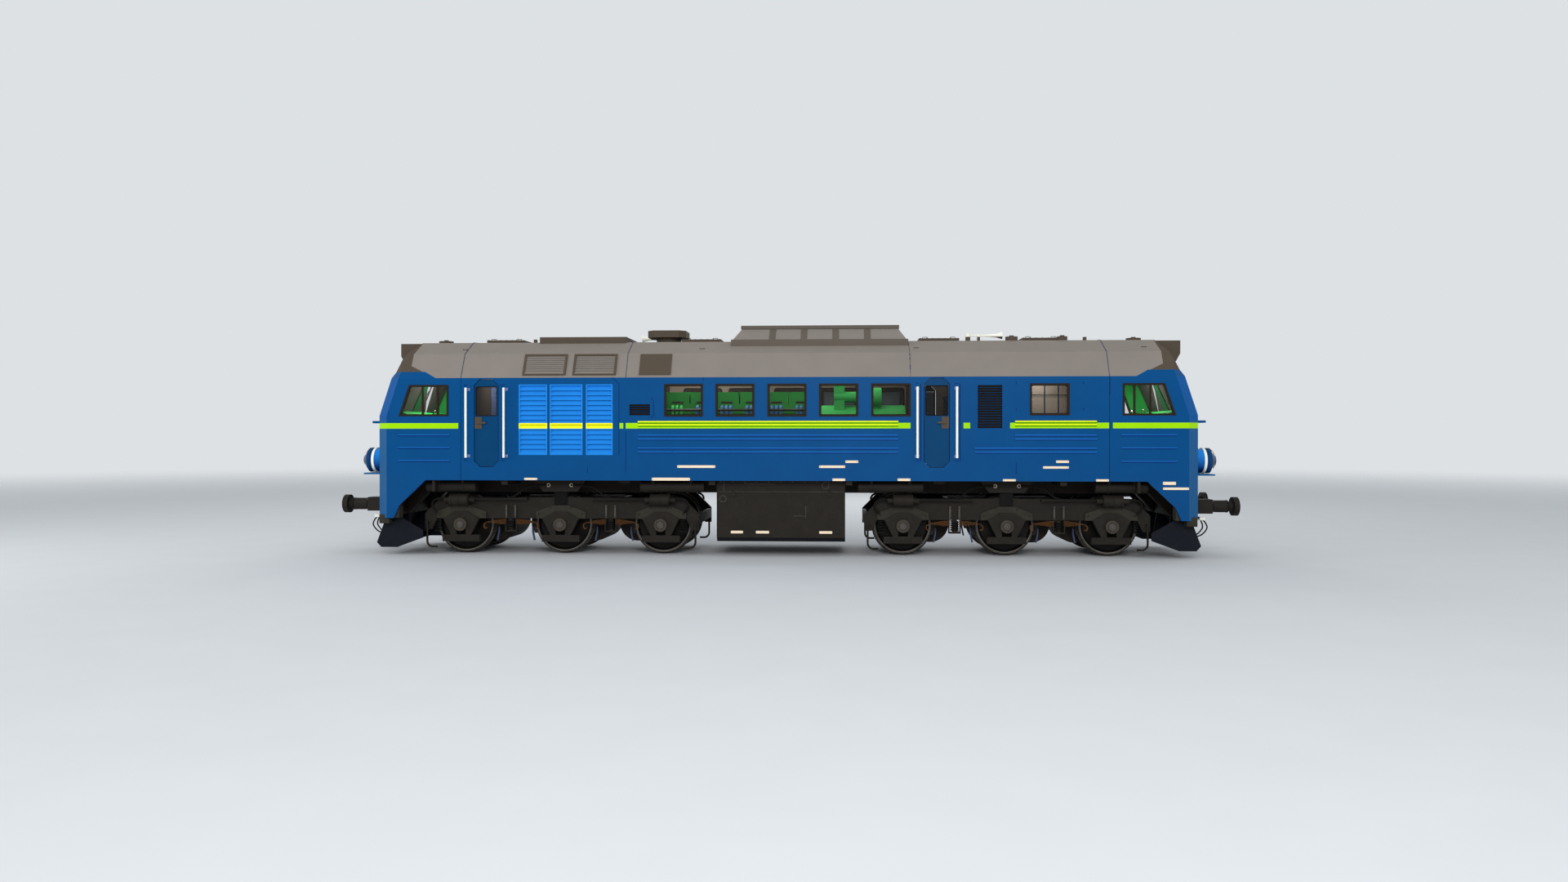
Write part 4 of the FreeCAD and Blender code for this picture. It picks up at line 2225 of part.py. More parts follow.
def build_cabinets():
    low = "body_bottom + floor_thickness + seat"
    shell = block("cabinet_block", ("cabinet_x", "cabinet_x + cabinet_length"),
                  ("-cabinet_half_width", "cabinet_half_width"), (low, "cabinet_top_z"))
    doors = []
    rows = (("cabinet_door_bottom_z", "cabinet_door_height"),
            ("(cabinet_door_bottom_z + cabinet_door_height + cabinet_door_gap)", "cabinet_door_upper_height"))
    for column in range(SIZES["cabinet_columns"]):
        start = f"cabinet_x + (cabinet_door_pitch - cabinet_door_width) / 2 + {column} * cabinet_door_pitch"
        for row, (base, height) in enumerate(rows):
            doors.append(
                block(
                    f"cabinet_door_{column}_{row}",
                    (start, f"{start} + cabinet_door_width"),
                    ("-(cabinet_half_width + cabinet_door_proud)", "-cabinet_half_width"),
                    (base, f"{base} + {height}"),
                )
            )
    node("electrical_cabinets", fuse("cabinet_body", shell, both_sides("cabinet_doors", together("cabinet_doors_near", *doors))))


def build_bulkheads():
    low = "body_bottom + floor_thickness + seat"
    walls = []
    places = {
        "cab_b": "cab_joint_x - 2 * bulkhead_thickness",
        "front": "bulkhead_front_x",
        "rear": "-bulkhead_rear_x - bulkhead_thickness",
        "cab_a": "-cab_joint_x + bulkhead_thickness",
    }
    for name, start in places.items():
        section = body_section(f"bulkhead_{name}_section", "body_wall + seat", start, f"{start} + bulkhead_thickness")
        keep = block(f"bulkhead_{name}_keep", (f"{start} - cut_overrun", f"{start} + bulkhead_thickness + cut_overrun"),
                     ("-body_half_width", "body_half_width"), (low, "crown_z"))
        walls.append(common(f"bulkhead_{name}", section, keep))
    node("bulkheads", together("bulkhead_all", *walls))


def build_cab_interiors():
    low = "body_bottom + floor_thickness + seat"
    desk = prism(
        "desk",
        "xz",
        [
            ("desk_knee_x", low),
            ("floor_end_x", low),
            ("desk_front_x", "desk_base_z"),
            ("desk_front_x", "desk_top_z + desk_rise"),
            ("desk_front_x - desk_rise", "desk_top_z + desk_rise"),
            ("desk_rear_x", "desk_top_z"),
            ("desk_rear_x", "desk_top_z - desk_rise"),
            ("desk_knee_x", "desk_base_z"),
        ],
        "-(body_half_width - body_wall - desk_wall_gap)",
        "(body_half_width - body_wall - desk_wall_gap)",
    )
    half = "seat_cushion / 2"
    seat = fuse(
        "seat",
        rod("seat_post", "z", "seat_post_radius", low, "seat_cushion_z", x="seat_x", y="seat_y"),
        block("seat_cushion_block", (f"seat_x - {half}", f"seat_x + {half}"), (f"seat_y - {half}", f"seat_y + {half}"),
              ("seat_cushion_z - seat_cushion_thickness", "seat_cushion_z")),
        block("seat_back", (f"seat_x - {half}", f"seat_x - {half} + seat_back_thickness"),
              (f"seat_y - {half}", f"seat_y + {half}"), ("seat_cushion_z - seat_cushion_thickness", "seat_back_top_z")),
    )
    node("driving_desks", both_ends("desk_pair", desk))
    node("cab_seats", four_ways("seat_set", seat))


cab_solid = build_cab()
roof_solid = body_section("roof_solid", "0", "-cab_joint_x", "cab_joint_x")
build_side_walls()
build_doors()
build_windows()
build_side_grilles()
build_roof(roof_solid)
build_fan(roof_solid)
build_monitor(roof_solid)
build_roof_fittings(roof_solid, cab_solid)
build_horns(roof_solid)
build_lamps(cab_solid)
build_handrails()
build_underframe()
build_tank()
build_reservoirs()
build_buffers()
build_draw_gear()
build_air_hoses()
build_plough()
build_wheelsets()
build_bogies()
build_engine()
build_radiators()
build_generator()
build_cabinets()
build_bulkheads()
build_cab_interiors()
doc.recompute()

faults = [item.Name for item in doc.Objects if "Invalid" in item.State or "Error" in item.State]
if faults:
    raise SystemExit("These objects failed: " + ", ".join(faults))
for label, item in NODES:
    if item.Shape.isNull() or not item.Shape.isValid() or not item.Shape.Solids:
        raise SystemExit("This piece has no valid solid: " + label)

os.makedirs("parts", exist_ok=True)
for label, item in NODES:
    solids = item.Shape.Solids
    shape = solids[0] if len(solids) == 1 else Part.makeCompound(solids)
    shape.exportStep(f"parts/{label}.step")
    print(f"{label}: {len(solids)} solids, {sum(solid.Volume for solid in solids) / 1e9:.3f} cubic metres")
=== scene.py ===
import math
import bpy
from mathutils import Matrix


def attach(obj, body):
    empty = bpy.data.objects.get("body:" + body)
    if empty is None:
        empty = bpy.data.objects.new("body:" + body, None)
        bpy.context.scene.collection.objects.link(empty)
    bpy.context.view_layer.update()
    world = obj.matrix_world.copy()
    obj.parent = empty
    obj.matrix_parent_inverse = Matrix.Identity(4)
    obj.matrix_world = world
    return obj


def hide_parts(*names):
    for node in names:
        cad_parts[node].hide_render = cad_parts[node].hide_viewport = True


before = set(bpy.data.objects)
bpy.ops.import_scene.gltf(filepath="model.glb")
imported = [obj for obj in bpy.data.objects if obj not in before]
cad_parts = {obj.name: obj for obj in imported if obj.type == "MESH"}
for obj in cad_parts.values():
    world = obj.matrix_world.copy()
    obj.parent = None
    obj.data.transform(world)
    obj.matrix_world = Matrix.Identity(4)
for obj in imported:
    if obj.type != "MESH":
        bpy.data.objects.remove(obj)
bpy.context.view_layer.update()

from types import SimpleNamespace

import bmesh
import bpy
import numpy as np
from bpy.props import FloatProperty, FloatVectorProperty, IntProperty, PointerProperty

# The paint, glass, rubber and small fittings of a six-axle diesel locomotive, in metres.
# X runs along the length, Y to the far side, Z up from the wheel flanges.

bl_info = {
    "name": "Diesel locomotive dressing",
    "version": (1, 0, 0),
    "blender": (4, 5, 0),
    "location": "3D View > Sidebar > Locomotive",
    "description": "Paints the locomotive and adds its springs, seals, pipes and small fittings",
    "category": "Object",
}

SIDES = {"near": -1, "far": 1}
SIDE_Y = 1.475
TANK_Y = 1.25
# Signs that carry a point of end b's far quarter to each of the four quarters
QUARTERS = np.array([(end, side, 1) for end in (-1, 1) for side in (-1, 1)])
BOGIES = {"bogie_a": -4.3, "bogie_b": 4.3}
AXLE_PITCH = 1.966
AXLE_Z = 0.590
AXLES = (-AXLE_PITCH, 0, AXLE_PITCH)
BETWEEN_AXLES = (-AXLE_PITCH / 2, AXLE_PITCH / 2)
# Openings as x0, x1, z0, z1
WINDOWS = [(x, x + 0.74, 2.68, 3.30) for x in (-2.204, -1.225, -0.24, 0.734, 1.715)]
WINDOWS.append((4.664, 5.398, 2.697, 3.294))
DOORS = {"door_a": (-5.876, -5.392), "door_b": (2.698, 3.182)}
STRIPE = (2.454, 2.56)
# A distance that lies past every part
BEYOND = 9
# Points nearer than this become one, and edges that turn further than this stay sharp
MERGE = 1e-5
SHARP = math.radians(35)


def linear(code):
    """Linear colour of sRGB hex: c / 12.92, or above 0.04045 ((c + 0.055) / 1.055) to the power 2.4."""
    share = np.array([int(code[i:i + 2], 16) for i in (0, 2, 4)]) / 255
    share = np.where(share <= 0.04045, share / 12.92, ((share + 0.055) / 1.055) ** 2.4)
    return (*share.tolist(), 1.0)


def paint_prop(name, code, description):
    """A colour that a user can change, given as sRGB hex."""
    return FloatVectorProperty(name=name, description=description, subtype="COLOR", size=4, min=0, max=1,
                               default=linear(code))


class LocoPaints(bpy.types.PropertyGroup):
    """Colours of the enamels and of the painted or rusty steel."""
    body: paint_prop("Body blue", "004C86", "Enamel of the sides and noses")
    # Painted highlight: a lighter blue on the bevelled nose corners, in place of the light they catch
    corner: paint_prop("Nose corner blue", "1C5C90", "Enamel of the bevelled nose corners, faded by light")
    # Painted highlight: a lighter blue on the slopes beside the windscreens
    slope: paint_prop("Nose slope blue", "00549A", "Enamel of the slopes beside the windscreens")
    rib: paint_prop("Rib blue", "1A6FC4", "The lit top of each rib")
    # Painted shade: a darker copy of the body blue, for the recessed doors
    door: paint_prop("Door blue", "00416E", "Enamel of the side doors")
    # Painted highlight: a lighter copy of the body blue, on the radiator shutters and the lit tops of the
    # nose lamps
    lit_blue: paint_prop("Shutter blue", "2088E4", "Enamel of the radiator shutters and nose lamps")
    lime: paint_prop("Lime stripe", "A8E800", "Stripe along the sides")
    # Painted highlight: the lime stripe made yellower on the rib tops and across the lit radiator shutters
    lime_highlight: paint_prop("Yellow stripe", "FFFF20", "Stripe over the ribs and shutters")
    # Also painted shade at the foot of each rib and in the strips beside the handrails
    navy: paint_prop("Navy line", "00286E", "Joint lines and the shaded foot of each rib")
    roof: paint_prop("Roof grey", "8B837C", "Enamel of the roof")
    # Also painted shade on the roof's front and on the headlight boxes
    brown: paint_prop("Fitting brown", "574D42", "Enamel of the roof fittings and door locks")
    window: paint_prop("Window frame brown", "2A221A", "Frames around the panes")
    chassis: paint_prop("Chassis black", "28241F", "Enamel of the bogies, tank and underframe")
    # Painted highlight: lighter than the chassis black, for the bands over the axle boxes; the skirt foot
    # blocks use it too
    band: paint_prop("Arch band", "37342C", "Dusty bands over the axle boxes")
    cast: paint_prop("Axle cap brown", "463F37", "Caps on the axle boxes")
    # Also painted shade on the skirts' inner faces and edges and at the foot of the tank
    shadow: paint_prop("Plough black", "12161F", "Enamel of the snow ploughs")
    rust: paint_prop("Spring rust", "6A4526", "Leaf springs")
    rail: paint_prop("Handrail white", "FFFFF0", "Handrails, lamp rings and horns")
    plate: paint_prop("Plate cream", "FFEACC", "Blank plates along the sill")
    engine: paint_prop("Engine green", "246B2C", "Engine and rocker boxes")
    generator: paint_prop("Generator green", "339044", "Generator and its ducts")
    cab: paint_prop("Cab green", "2B9340", "Inside of the cabs")
    lining: paint_prop("Lining beige", "73695C", "Inside of the engine room")
    cabinet: paint_prop("Cabinet brown", "60584C", "Electrical cabinets")
    seat: paint_prop("Seat olive", "948A55", "Covers of the seats")


class LocoSizes(bpy.types.PropertyGroup):
    """Sizes of the small fittings."""
    plate_depth: FloatProperty(name="Plate depth", description="How far a blank plate stands off the side",
                               default=0.008, min=0.002, max=0.02, unit="LENGTH")
    leaf_count: IntProperty(name="Leaves", description="Leaves in each half of a spring pack",
                            default=6, min=3, max=9)
    coil_turns: FloatProperty(name="Coil turns", description="Turns of the coil spring between two axles",
                              default=4.5, min=2, max=8)
    seal_radius: FloatProperty(name="Seal radius", description="Half the width of a window seal",
                               default=0.009, min=0.004, max=0.02, unit="LENGTH")
    hose_radius: FloatProperty(name="Hose radius", description="Half the width of a brake hose",
                               default=0.02, min=0.01, max=0.03, unit="LENGTH")
    camera_lens: FloatProperty(name="Lens", description="Focal length of the camera in millimetres",
                               default=24.444, min=10, max=100)


# Surfaces: each is a grid of points, as vertices and four-sided faces


def surface(points, wrap_rows=False, wrap_columns=False):
    """Vertices and faces of a grid, where face (i, j) joins rows i and i + 1 to columns j and j + 1."""
    rows, columns = points.shape[:2]
    starts = np.arange(rows - (not wrap_rows)), np.arange(columns - (not wrap_columns))
    i, j = np.meshgrid(*starts, indexing="ij")
    i2, j2 = (i + 1) % rows, (j + 1) % columns
    faces = np.stack([i * columns + j, i2 * columns + j, i2 * columns + j2, i * columns + j2], -1)
    return points.reshape(-1, 3), faces.reshape(-1, 4)


def around(count):
    """Angles in equal steps round a circle."""
    return np.linspace(0, 2 * math.pi, count, endpoint=False)


def slab(corner, opposite, edge=0.16):
    """A box with rounded edges: centre + half size * sign(c) * |c| ** edge, with c on the unit sphere."""
    low, high = np.minimum(corner, opposite), np.maximum(corner, opposite)
    up, turn = np.linspace(-math.pi / 2, math.pi / 2, 9)[:, None], around(16)[None]

    def power(c):
        return np.sign(c) * np.abs(np.where(np.abs(c) < 1e-9, 0, c)) ** edge

    x = power(np.cos(up)) * power(np.cos(turn))
    y = power(np.cos(up)) * power(np.sin(turn))
    z = power(np.sin(up)) * np.ones_like(turn)
    return surface((low + high) / 2 + np.stack([x, y, z], -1) * (high - low) / 2, wrap_columns=True)


def lathe(profile, centre, axis, sides=24, turn=0.0):
    """A profile (radius, height) turned about an axis: centre + height * axis + radius * (cos a, sin a)."""
    profile, axis = np.array(profile, float), np.array(axis, float)
    side = np.cross(axis, (0, 0, 1) if abs(axis[2]) < 0.9 else (1, 0, 0))
    side /= np.linalg.norm(side)
    up = np.cross(axis, side)
    a = around(sides) + turn
    ring = np.cos(a)[:, None] * side + np.sin(a)[:, None] * up
    points = np.array(centre) + profile[:, 1][:, None, None] * axis + profile[:, 0][:, None, None] * ring
    return surface(points, wrap_columns=True)


def hoop(profile, centre, axis, sides=32):
    """A ring: an outline of (radius, height), closed with its first point, turned about an axis."""
    return lathe([*profile, profile[0]], centre, axis, sides)


def strap(inner, outer, centre, axis):
    """A ring 24 mm wide with chamfered edges, as a turned outline."""
    return hoop([(inner, -0.012), (outer, -0.01), (outer, 0.01), (inner, 0.012)], centre, axis)


def ball(centre, radius):
    """A sphere as a turned half circle: (radius cos b, radius sin b)."""
    b = np.linspace(-math.pi / 2, math.pi / 2, 6)
    profile = np.stack([np.cos(b) * radius, np.sin(b) * radius], -1)
    profile[[0, -1], 0] = 0
    return lathe(profile, centre, (0, 0, 1), 10)


def bolt(centre, axis, radius, height):
    """A hexagon head with a chamfered top, turned with six sides."""
    profile = [(0, -0.002), (radius, -0.002), (radius, height * 0.8), (radius * 0.86, height), (0, height)]
    return lathe(profile, centre, axis, 6)


def disc(radius, height, centre, axis, sides=24):
    """A low plug with a chamfered rim, as a turned profile."""
    rim = min(radius, height) * 0.15
    profile = [(0, 0), (radius, 0), (radius, height - rim), (radius - rim, height), (0, height)]
    return lathe(profile, centre, axis, sides)


# Outlines and paths


def circle(radius, sides=8):
    """An outline of a round bar: radius * (cos a, sin a)."""
    a = around(sides)
    return np.stack([np.cos(a), np.sin(a)], -1) * radius


def strip(width, depth):
    """The outline of a flat bar with its corners taken off."""
    w, d = width / 2, depth / 2
    c = min(w, d) * 0.3
    corner = np.array([(w, d - c), (w - c, d)])
    return np.concatenate([corner, corner[::-1] * (-1, 1), -corner, corner[::-1] * (1, -1)])


def sweep(path, shape, across=(0, 1, 0), loop=False):
    """A closed outline carried along a path: path + u * side + v * up, with up = direction x across."""
    path = np.array(path, float)
    along = np.roll(path, -1, 0) - np.roll(path, 1, 0) if loop else np.gradient(path, axis=0)
    along /= np.linalg.norm(along, axis=1)[:, None]
    up = np.cross(along, across)
    up /= np.linalg.norm(up, axis=1)[:, None]
    side = np.cross(up, along)
    rings = path[:, None] + shape[None, :, :1] * side[:, None] + shape[None, :, 1:] * up[:, None]
    if not loop:
        first, last = (np.repeat(end[None, None], len(shape), 1) for end in path[[0, -1]])
        rings = np.concatenate([first, rings, last])
    return surface(rings, wrap_rows=loop, wrap_columns=True)


def rounded(points, radius, steps=6):
    """A path whose corners follow a quadratic curve between their runs: (1-t)^2 a + 2t(1-t) b + t^2 c."""
    points = np.array(points, float)
    before, corner, after = points[:-2], points[1:-1], points[2:]
    t = np.linspace(0, 1, steps)[None, :, None]

    def away(target):
        run = target - corner
        size = np.linalg.norm(run, axis=1)[:, None]
        return (corner + run / size * np.minimum(radius, size * 0.48))[:, None]

    curve = (1 - t) ** 2 * away(before) + 2 * t * (1 - t) * corner[:, None] + t ** 2 * away(after)
    return np.concatenate([points[:1], curve.reshape(-1, 3), points[-1:]])


def arc(centre, across, up, angles):
    """Points of an ellipse in the plane of the side: centre + (across cos a, 0, up sin a)."""
    return centre + np.stack([across * np.cos(angles), 0 * angles, up * np.sin(angles)], -1)


def helix(foot, radii, height, turns, count):
    """A coil's middle line: foot + (rx cos w, ry sin w, height t), with w = 2 pi turns t."""
    t = np.linspace(0, 1, count)
    w = 2 * math.pi * turns * t
    return foot + np.stack([radii[0] * np.cos(w), radii[1] * np.sin(w), height * t], -1)


def ring_path(opening, inset, y, corner=0.03):
    """A rectangle with round corners in the plane of the side: quarter circles between straight runs."""
    x0, x1, z0, z1 = opening
    a = np.arange(4)[:, None] * math.pi / 2 + np.linspace(0, math.pi / 2, 5)
    middles = np.array([(x1, z1, -1, -1), (x0, z1, 1, -1), (x0, z0, 1, 1), (x1, z0, -1, 1)])
    x, z = ((middles[:, :2] + middles[:, 2:] * (inset + corner)).T)[:, :, None]
    return np.stack([x + corner * np.cos(a), 0 * a + y, z + corner * np.sin(a)], -1).reshape(-1, 3)


def hung_sheet(x, y0, y1, z, depth):
    """A sheet hung across the cab: at each height a rectangle from y0 to y1 and from x to x + depth."""
    loops = np.stack([np.stack(np.broadcast_arrays(x + step, y, z), -1)
                      for step, y in ((0, y0), (0, y1), (depth, y1), (depth, y0))], 1)
    top, foot = (np.repeat(loops[end].mean(0)[None, None], 4, 1) for end in (-1, 0))
    return surface(np.concatenate([foot, loops, top]), wrap_columns=True)


FINISHES = {}


def piece(name, parts, finish, body="body", replaces=()):
    """Joins surfaces to one mesh with outward faces, and gives it its finish and the body it rides on."""
    starts = np.cumsum([0] + [len(verts) for verts, _ in parts])
    verts = np.concatenate([verts for verts, _ in parts])
    faces = np.concatenate([faces + start for (_, faces), start in zip(parts, starts)])
    mesh = bpy.data.meshes.new(name)
    mesh.from_pydata(verts.tolist(), [], faces.tolist())
    form = bmesh.new()
    form.from_mesh(mesh)
    bmesh.ops.remove_doubles(form, verts=form.verts, dist=MERGE)
    bmesh.ops.dissolve_degenerate(form, edges=form.edges, dist=MERGE / 10)
    bmesh.ops.recalc_face_normals(form, faces=form.faces)
    form.to_mesh(mesh)
    form.free()
    mesh.polygons.foreach_set("use_smooth", np.ones(len(mesh.polygons), bool))
    mesh.set_sharp_from_angle(angle=SHARP)
    mesh.materials.append(FINISHES[finish])
    thing = bpy.data.objects.new(name, mesh)
    bpy.context.scene.collection.objects.link(thing)
    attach(thing, body)
    if replaces:
        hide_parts(*replaces)


# Materials


def add(tree, kind, sockets=None, **settings):
    """A node with its settings, and its sockets given a value or linked."""
    item = tree.nodes.new(kind)
    for key, setting in settings.items():
        setattr(item, key, setting)
    for socket, source in (sockets or {}).items():
        if isinstance(source, bpy.types.NodeSocket):
            tree.links.new(source, item.inputs[socket])
        else:
            item.inputs[socket].default_value = source
    return item.outputs


def new_material(name, roughness, metallic=0.0, ior=1.5, gloss=0.5):
    """A material with its shader, whose constant values sit on the shader's own sockets."""
    material = bpy.data.materials.new(name)
    material.use_nodes = True
    shader = material.node_tree.nodes["Principled BSDF"]
    shader.inputs["Roughness"].default_value = roughness
    shader.inputs["Metallic"].default_value = metallic
    if not metallic:
        shader.inputs["IOR"].default_value = ior
    shader.inputs["Specular IOR Level"].default_value = gloss
    return material, material.node_tree, shader


def sources(tree):
    """Where a point lies in metres, how far from the middle planes, and how far its face turns sideways."""
    place = add(tree, "ShaderNodeTexCoord")["Object"]
    facing = add(tree, "ShaderNodeNewGeometry")["Normal"]
    spot = add(tree, "ShaderNodeSeparateXYZ", {"Vector": place})
    turn = add(tree, "ShaderNodeSeparateXYZ", {"Vector": facing})["Y"]
    length, width, sideways = (add(tree, "ShaderNodeMath", {0: socket}, operation="ABSOLUTE")[0]
                               for socket in (spot["X"], spot["Y"], turn))
    return SimpleNamespace(place=place, facing=facing, x=spot["X"], y=spot["Y"], z=spot["Z"], length=length,
                           width=width, sideways=sideways)


def where(tree, *limits):
    """One where each source lies in one of its spans: the product of each source's best comparison."""
    total = None
    for source, *spans in limits:
        hit = None
        for low, high in spans:
            span = {0: source, 1: (low + high) / 2, 2: (high - low) / 2}
            one = add(tree, "ShaderNodeMath", span, operation="COMPARE")[0]
            hit = add(tree, "ShaderNodeMath", {0: hit, 1: one}, operation="MAXIMUM")[0] if hit else one
        total = add(tree, "ShaderNodeMath", {0: total, 1: hit}, operation="MULTIPLY")[0] if total else hit
    return total


def layered(tree, base, *layers):
    """A colour with others laid over it, each given with its mask or the limits within which it lies."""
    for colour, *limits in layers:
        mask = limits[0] if isinstance(limits[0], bpy.types.NodeSocket) else where(tree, *limits)
        base = add(tree, "ShaderNodeMix", {0: mask, 6: base, 7: colour}, data_type="RGBA")[2]
    return base


def grain(tree, place, millimetres, detail=3.0, rough=0.5, stretch=(1, 1, 1)):
    """Noise whose grains are the given size across."""
    spread = add(tree, "ShaderNodeMapping", {"Vector": place, "Scale": stretch})["Vector"]
    return add(tree, "ShaderNodeTexNoise", {"Vector": spread, "Scale": 1000 / millimetres, "Detail": detail,
                                             "Roughness": rough})["Fac"]


def toned(tree, base, noise, low, high):
    """A colour made darker and lighter by noise, from the low share to the high one."""
    spans = {"Value": noise, "From Min": 0.3, "From Max": 0.7, "To Min": low, "To Max": high}
    tone = add(tree, "ShaderNodeMapRange", spans)[0]
    return add(tree, "ShaderNodeMix", {0: 1.0, 6: base, 7: tone}, data_type="RGBA", blend_type="MULTIPLY")[2]


def laid_out(tree, at, paint):
    """A plain colour as it is, or the colours that one of the paint functions lays out over the piece."""
    return paint(tree, at, bpy.context.scene.loco_paints) if callable(paint) else paint


def enamel(name, paint, roughness=0.35, dust=0.0):
    """Sprayed enamel on sheet steel: even colour with faint waves, dulled by road dust near the ground."""
    material, tree, shader = new_material(name, roughness, gloss=0.08)
    at = sources(tree)
    # Patches of fading are about half a metre across
    fade = grain(tree, at.place, 520, 4.0, 0.6)
    base = toned(tree, laid_out(tree, at, paint), fade, 0.96, 1.04)
    # Rain draws streaks down the sides, 40 mm wide and ten times as tall
    streak = grain(tree, at.place, 40, 2.0, 0.6, (1, 1, 0.1))
    spans = {"Value": at.z, "From Min": 2.1, "From Max": 1.2, "To Min": 0.1 * dust, "To Max": dust}
    low = add(tree, "ShaderNodeMapRange", spans)[0]
    amount = add(tree, "ShaderNodeMath", {0: streak, 1: low}, operation="MULTIPLY")[0]
    tree.links.new(layered(tree, base, (linear("3C3F40"), amount)), shader.inputs["Base Color"])
    spans = {"Value": fade, "To Min": roughness - 0.06, "To Max": roughness + 0.12}
    tree.links.new(add(tree, "ShaderNodeMapRange", spans)[0], shader.inputs["Roughness"])
    # Orange peel of sprayed enamel is a few millimetres across, drawn at 60 mm so that it shows
    peel = {"Height": grain(tree, at.place, 60, 2.0), "Strength": 0.6, "Distance": 0.0008}
    tree.links.new(add(tree, "ShaderNodeBump", peel)[0], shader.inputs["Normal"])
    return material


def grimy_steel(name, paint, roughness=0.6, metallic=0.0, grime="14110E", grit=18):
    """Painted steel under brake dust and oil: dark patches, fine grit and dull gloss."""
    material, tree, shader = new_material(name, roughness, metallic, gloss=0.12)
    at = sources(tree)
    base = laid_out(tree, at, paint)
    # Oil lies in patches a quarter of a metre across, and dust in patches of 90 mm
    patches = grain(tree, at.place, 240, 5.0, 0.65)
    spans = {"Value": patches, "From Min": 0.42, "From Max": 0.72, "To Max": 0.4}
    oil = add(tree, "ShaderNodeMapRange", spans)[0]
    spans = {"Value": grain(tree, at.place, 90), "From Min": 0.55, "From Max": 0.8, "To Max": 0.05}
    dust = add(tree, "ShaderNodeMapRange", spans)[0]
    base = layered(tree, base, (linear(grime), oil), (linear("6A6052"), dust))
    tree.links.new(base, shader.inputs["Base Color"])
    spans = {"Value": patches, "To Min": roughness + 0.1, "To Max": roughness - 0.15}
    tree.links.new(add(tree, "ShaderNodeMapRange", spans)[0], shader.inputs["Roughness"])
    # Grit of baked dust, drawn as coarse as it needs to show
    bump = {"Height": grain(tree, at.place, grit), "Strength": 0.6, "Distance": 0.0015}
    tree.links.new(add(tree, "ShaderNodeBump", bump)[0], shader.inputs["Normal"])
    return material


def livery(tree, at, p):
    """Blue sides with their stripes and ribs, their painted highlights and shade, and the linings of the
    rooms behind them.
    """
    outward = (at.width, (SIDE_Y + 0.002, BEYOND))
    stripe = (at.x, (-7.9, -6.182), (-3.059, -2.988), (-2.94, -2.709), (2.223, 2.45), (3.437, 3.56),
              (4.301, 4.393), (5.897, 6.122), (6.192, 7.9))
    ribbed = (at.x, (-2.709, 2.223), (4.393, 5.897)), (at.width, (SIDE_Y - 0.02, BEYOND))
    # Bevelled nose corners and the slopes over them, painted in lighter blues as painted highlights
    lit_bevel = (at.sideways, (0.5, 0.96)), (at.length, (7.1, BEYOND))
    # Painted highlight along the top of each rib, in lighter blue or, on the lime stripe, in a yellower tone,
    # and painted shade at its foot, in navy or dark green
    cab, cab_ribs = (at.length, (6.35, 7.36)), (1.835, 2.085, 2.326)
    wall, wall_ribs = (at.length, (0, 5.95)), (1.989, 2.063, 2.234, 2.308)
    colour = layered(
        tree, p.body,
        (p.corner, *lit_bevel, (at.z, (0, 2.6))), (p.slope, *lit_bevel, (at.z, (2.6, 3.43))),
        (p.lime, (at.z, STRIPE), stripe), (p.lime, *ribbed, (at.z, (2.456, 2.597))),
        (p.lime_highlight, *ribbed, (at.z, (2.518, 2.535), (2.579, 2.597))),
        (linear("3C7407"), *ribbed, (at.z, (2.487, 2.503), (2.548, 2.565))),
        (p.rib, (at.z, *((row + 0.001, row + 0.018) for row in cab_ribs)), cab, outward),
        (p.navy, (at.z, *((row - 0.016, row - 0.001) for row in cab_ribs)), cab, outward),
        (p.rib, (at.z, *((row + 0.013, row + 0.031) for row in wall_ribs)), wall, outward),
        (p.navy, (at.z, *((row - 0.001, row + 0.012) for row in wall_ribs)), wall, outward))
    # Linings: the surfaces that face the middle of their own room
    end = add(tree, "ShaderNodeMath", {0: at.x}, operation="SIGN")[0]
    middle = add(tree, "ShaderNodeMath", {0: end, 1: 7.0}, operation="MULTIPLY")[0]
    middle = add(tree, "ShaderNodeCombineXYZ", {"X": middle, "Z": 2.9})[0]
    away = add(tree, "ShaderNodeVectorMath", {0: at.place, 1: middle}, operation="SUBTRACT")[0]
    turned = add(tree, "ShaderNodeVectorMath", {0: at.facing, 1: away}, operation="DOT_PRODUCT")["Value"]
    inside = (turned, (-99, 0)), (at.width, (0, SIDE_Y - 0.045))
    skirt = (at.z, (0, 1.46))
    return layered(
        tree, colour,
        (p.lining, *inside, (at.length, (0, 6.05))), (p.cab, *inside, (at.length, (6.05, BEYOND))),
        # Painted shade on the inner faces of the skirts
        (p.shadow, *inside, skirt),
        # Painted shade on the cut edges and backs of the skirts
        (p.shadow, skirt, (at.width, (0, SIDE_Y - 0.02)), (at.length, (0, 7.6))),
        (linear("06286E"), skirt, (at.sideways, (0, 0.5)), (at.length, (0, 7.76))))


def roof_paint(tree, at, p):
    """Grey roof with a brown front, painted shade, whose edge slants forward and then stands 7.14 m from the
    middle.
    """
    slant = add(tree, "ShaderNodeMath", {0: at.z, 1: 2.14, 2: -0.70}, operation="MULTIPLY_ADD")[0]
    edge = add(tree, "ShaderNodeMath", {0: slant, 1: 7.14}, operation="MINIMUM")[0]
    front = add(tree, "ShaderNodeMath", {0: at.length, 1: edge}, operation="GREATER_THAN")[0]
    return layered(tree, p.roof, (p.brown, front))


def shutter_paint(tree, at, p):
    """Slats in a lighter blue than the body as a painted highlight, with the lime stripe across them in its
    yellower highlight tone.
    """
    return layered(tree, p.lit_blue, (p.lime_highlight, (at.z, STRIPE)))


def louvre_paint(tree, at, p):
    """Dark brown slats and filter, with body blue on the slats' outermost edges; on the slats the dark brown
    is painted shade of the louvre's depth.
    """
    return layered(tree, p.window, (p.body, (at.width, (SIDE_Y - 0.012, BEYOND))))


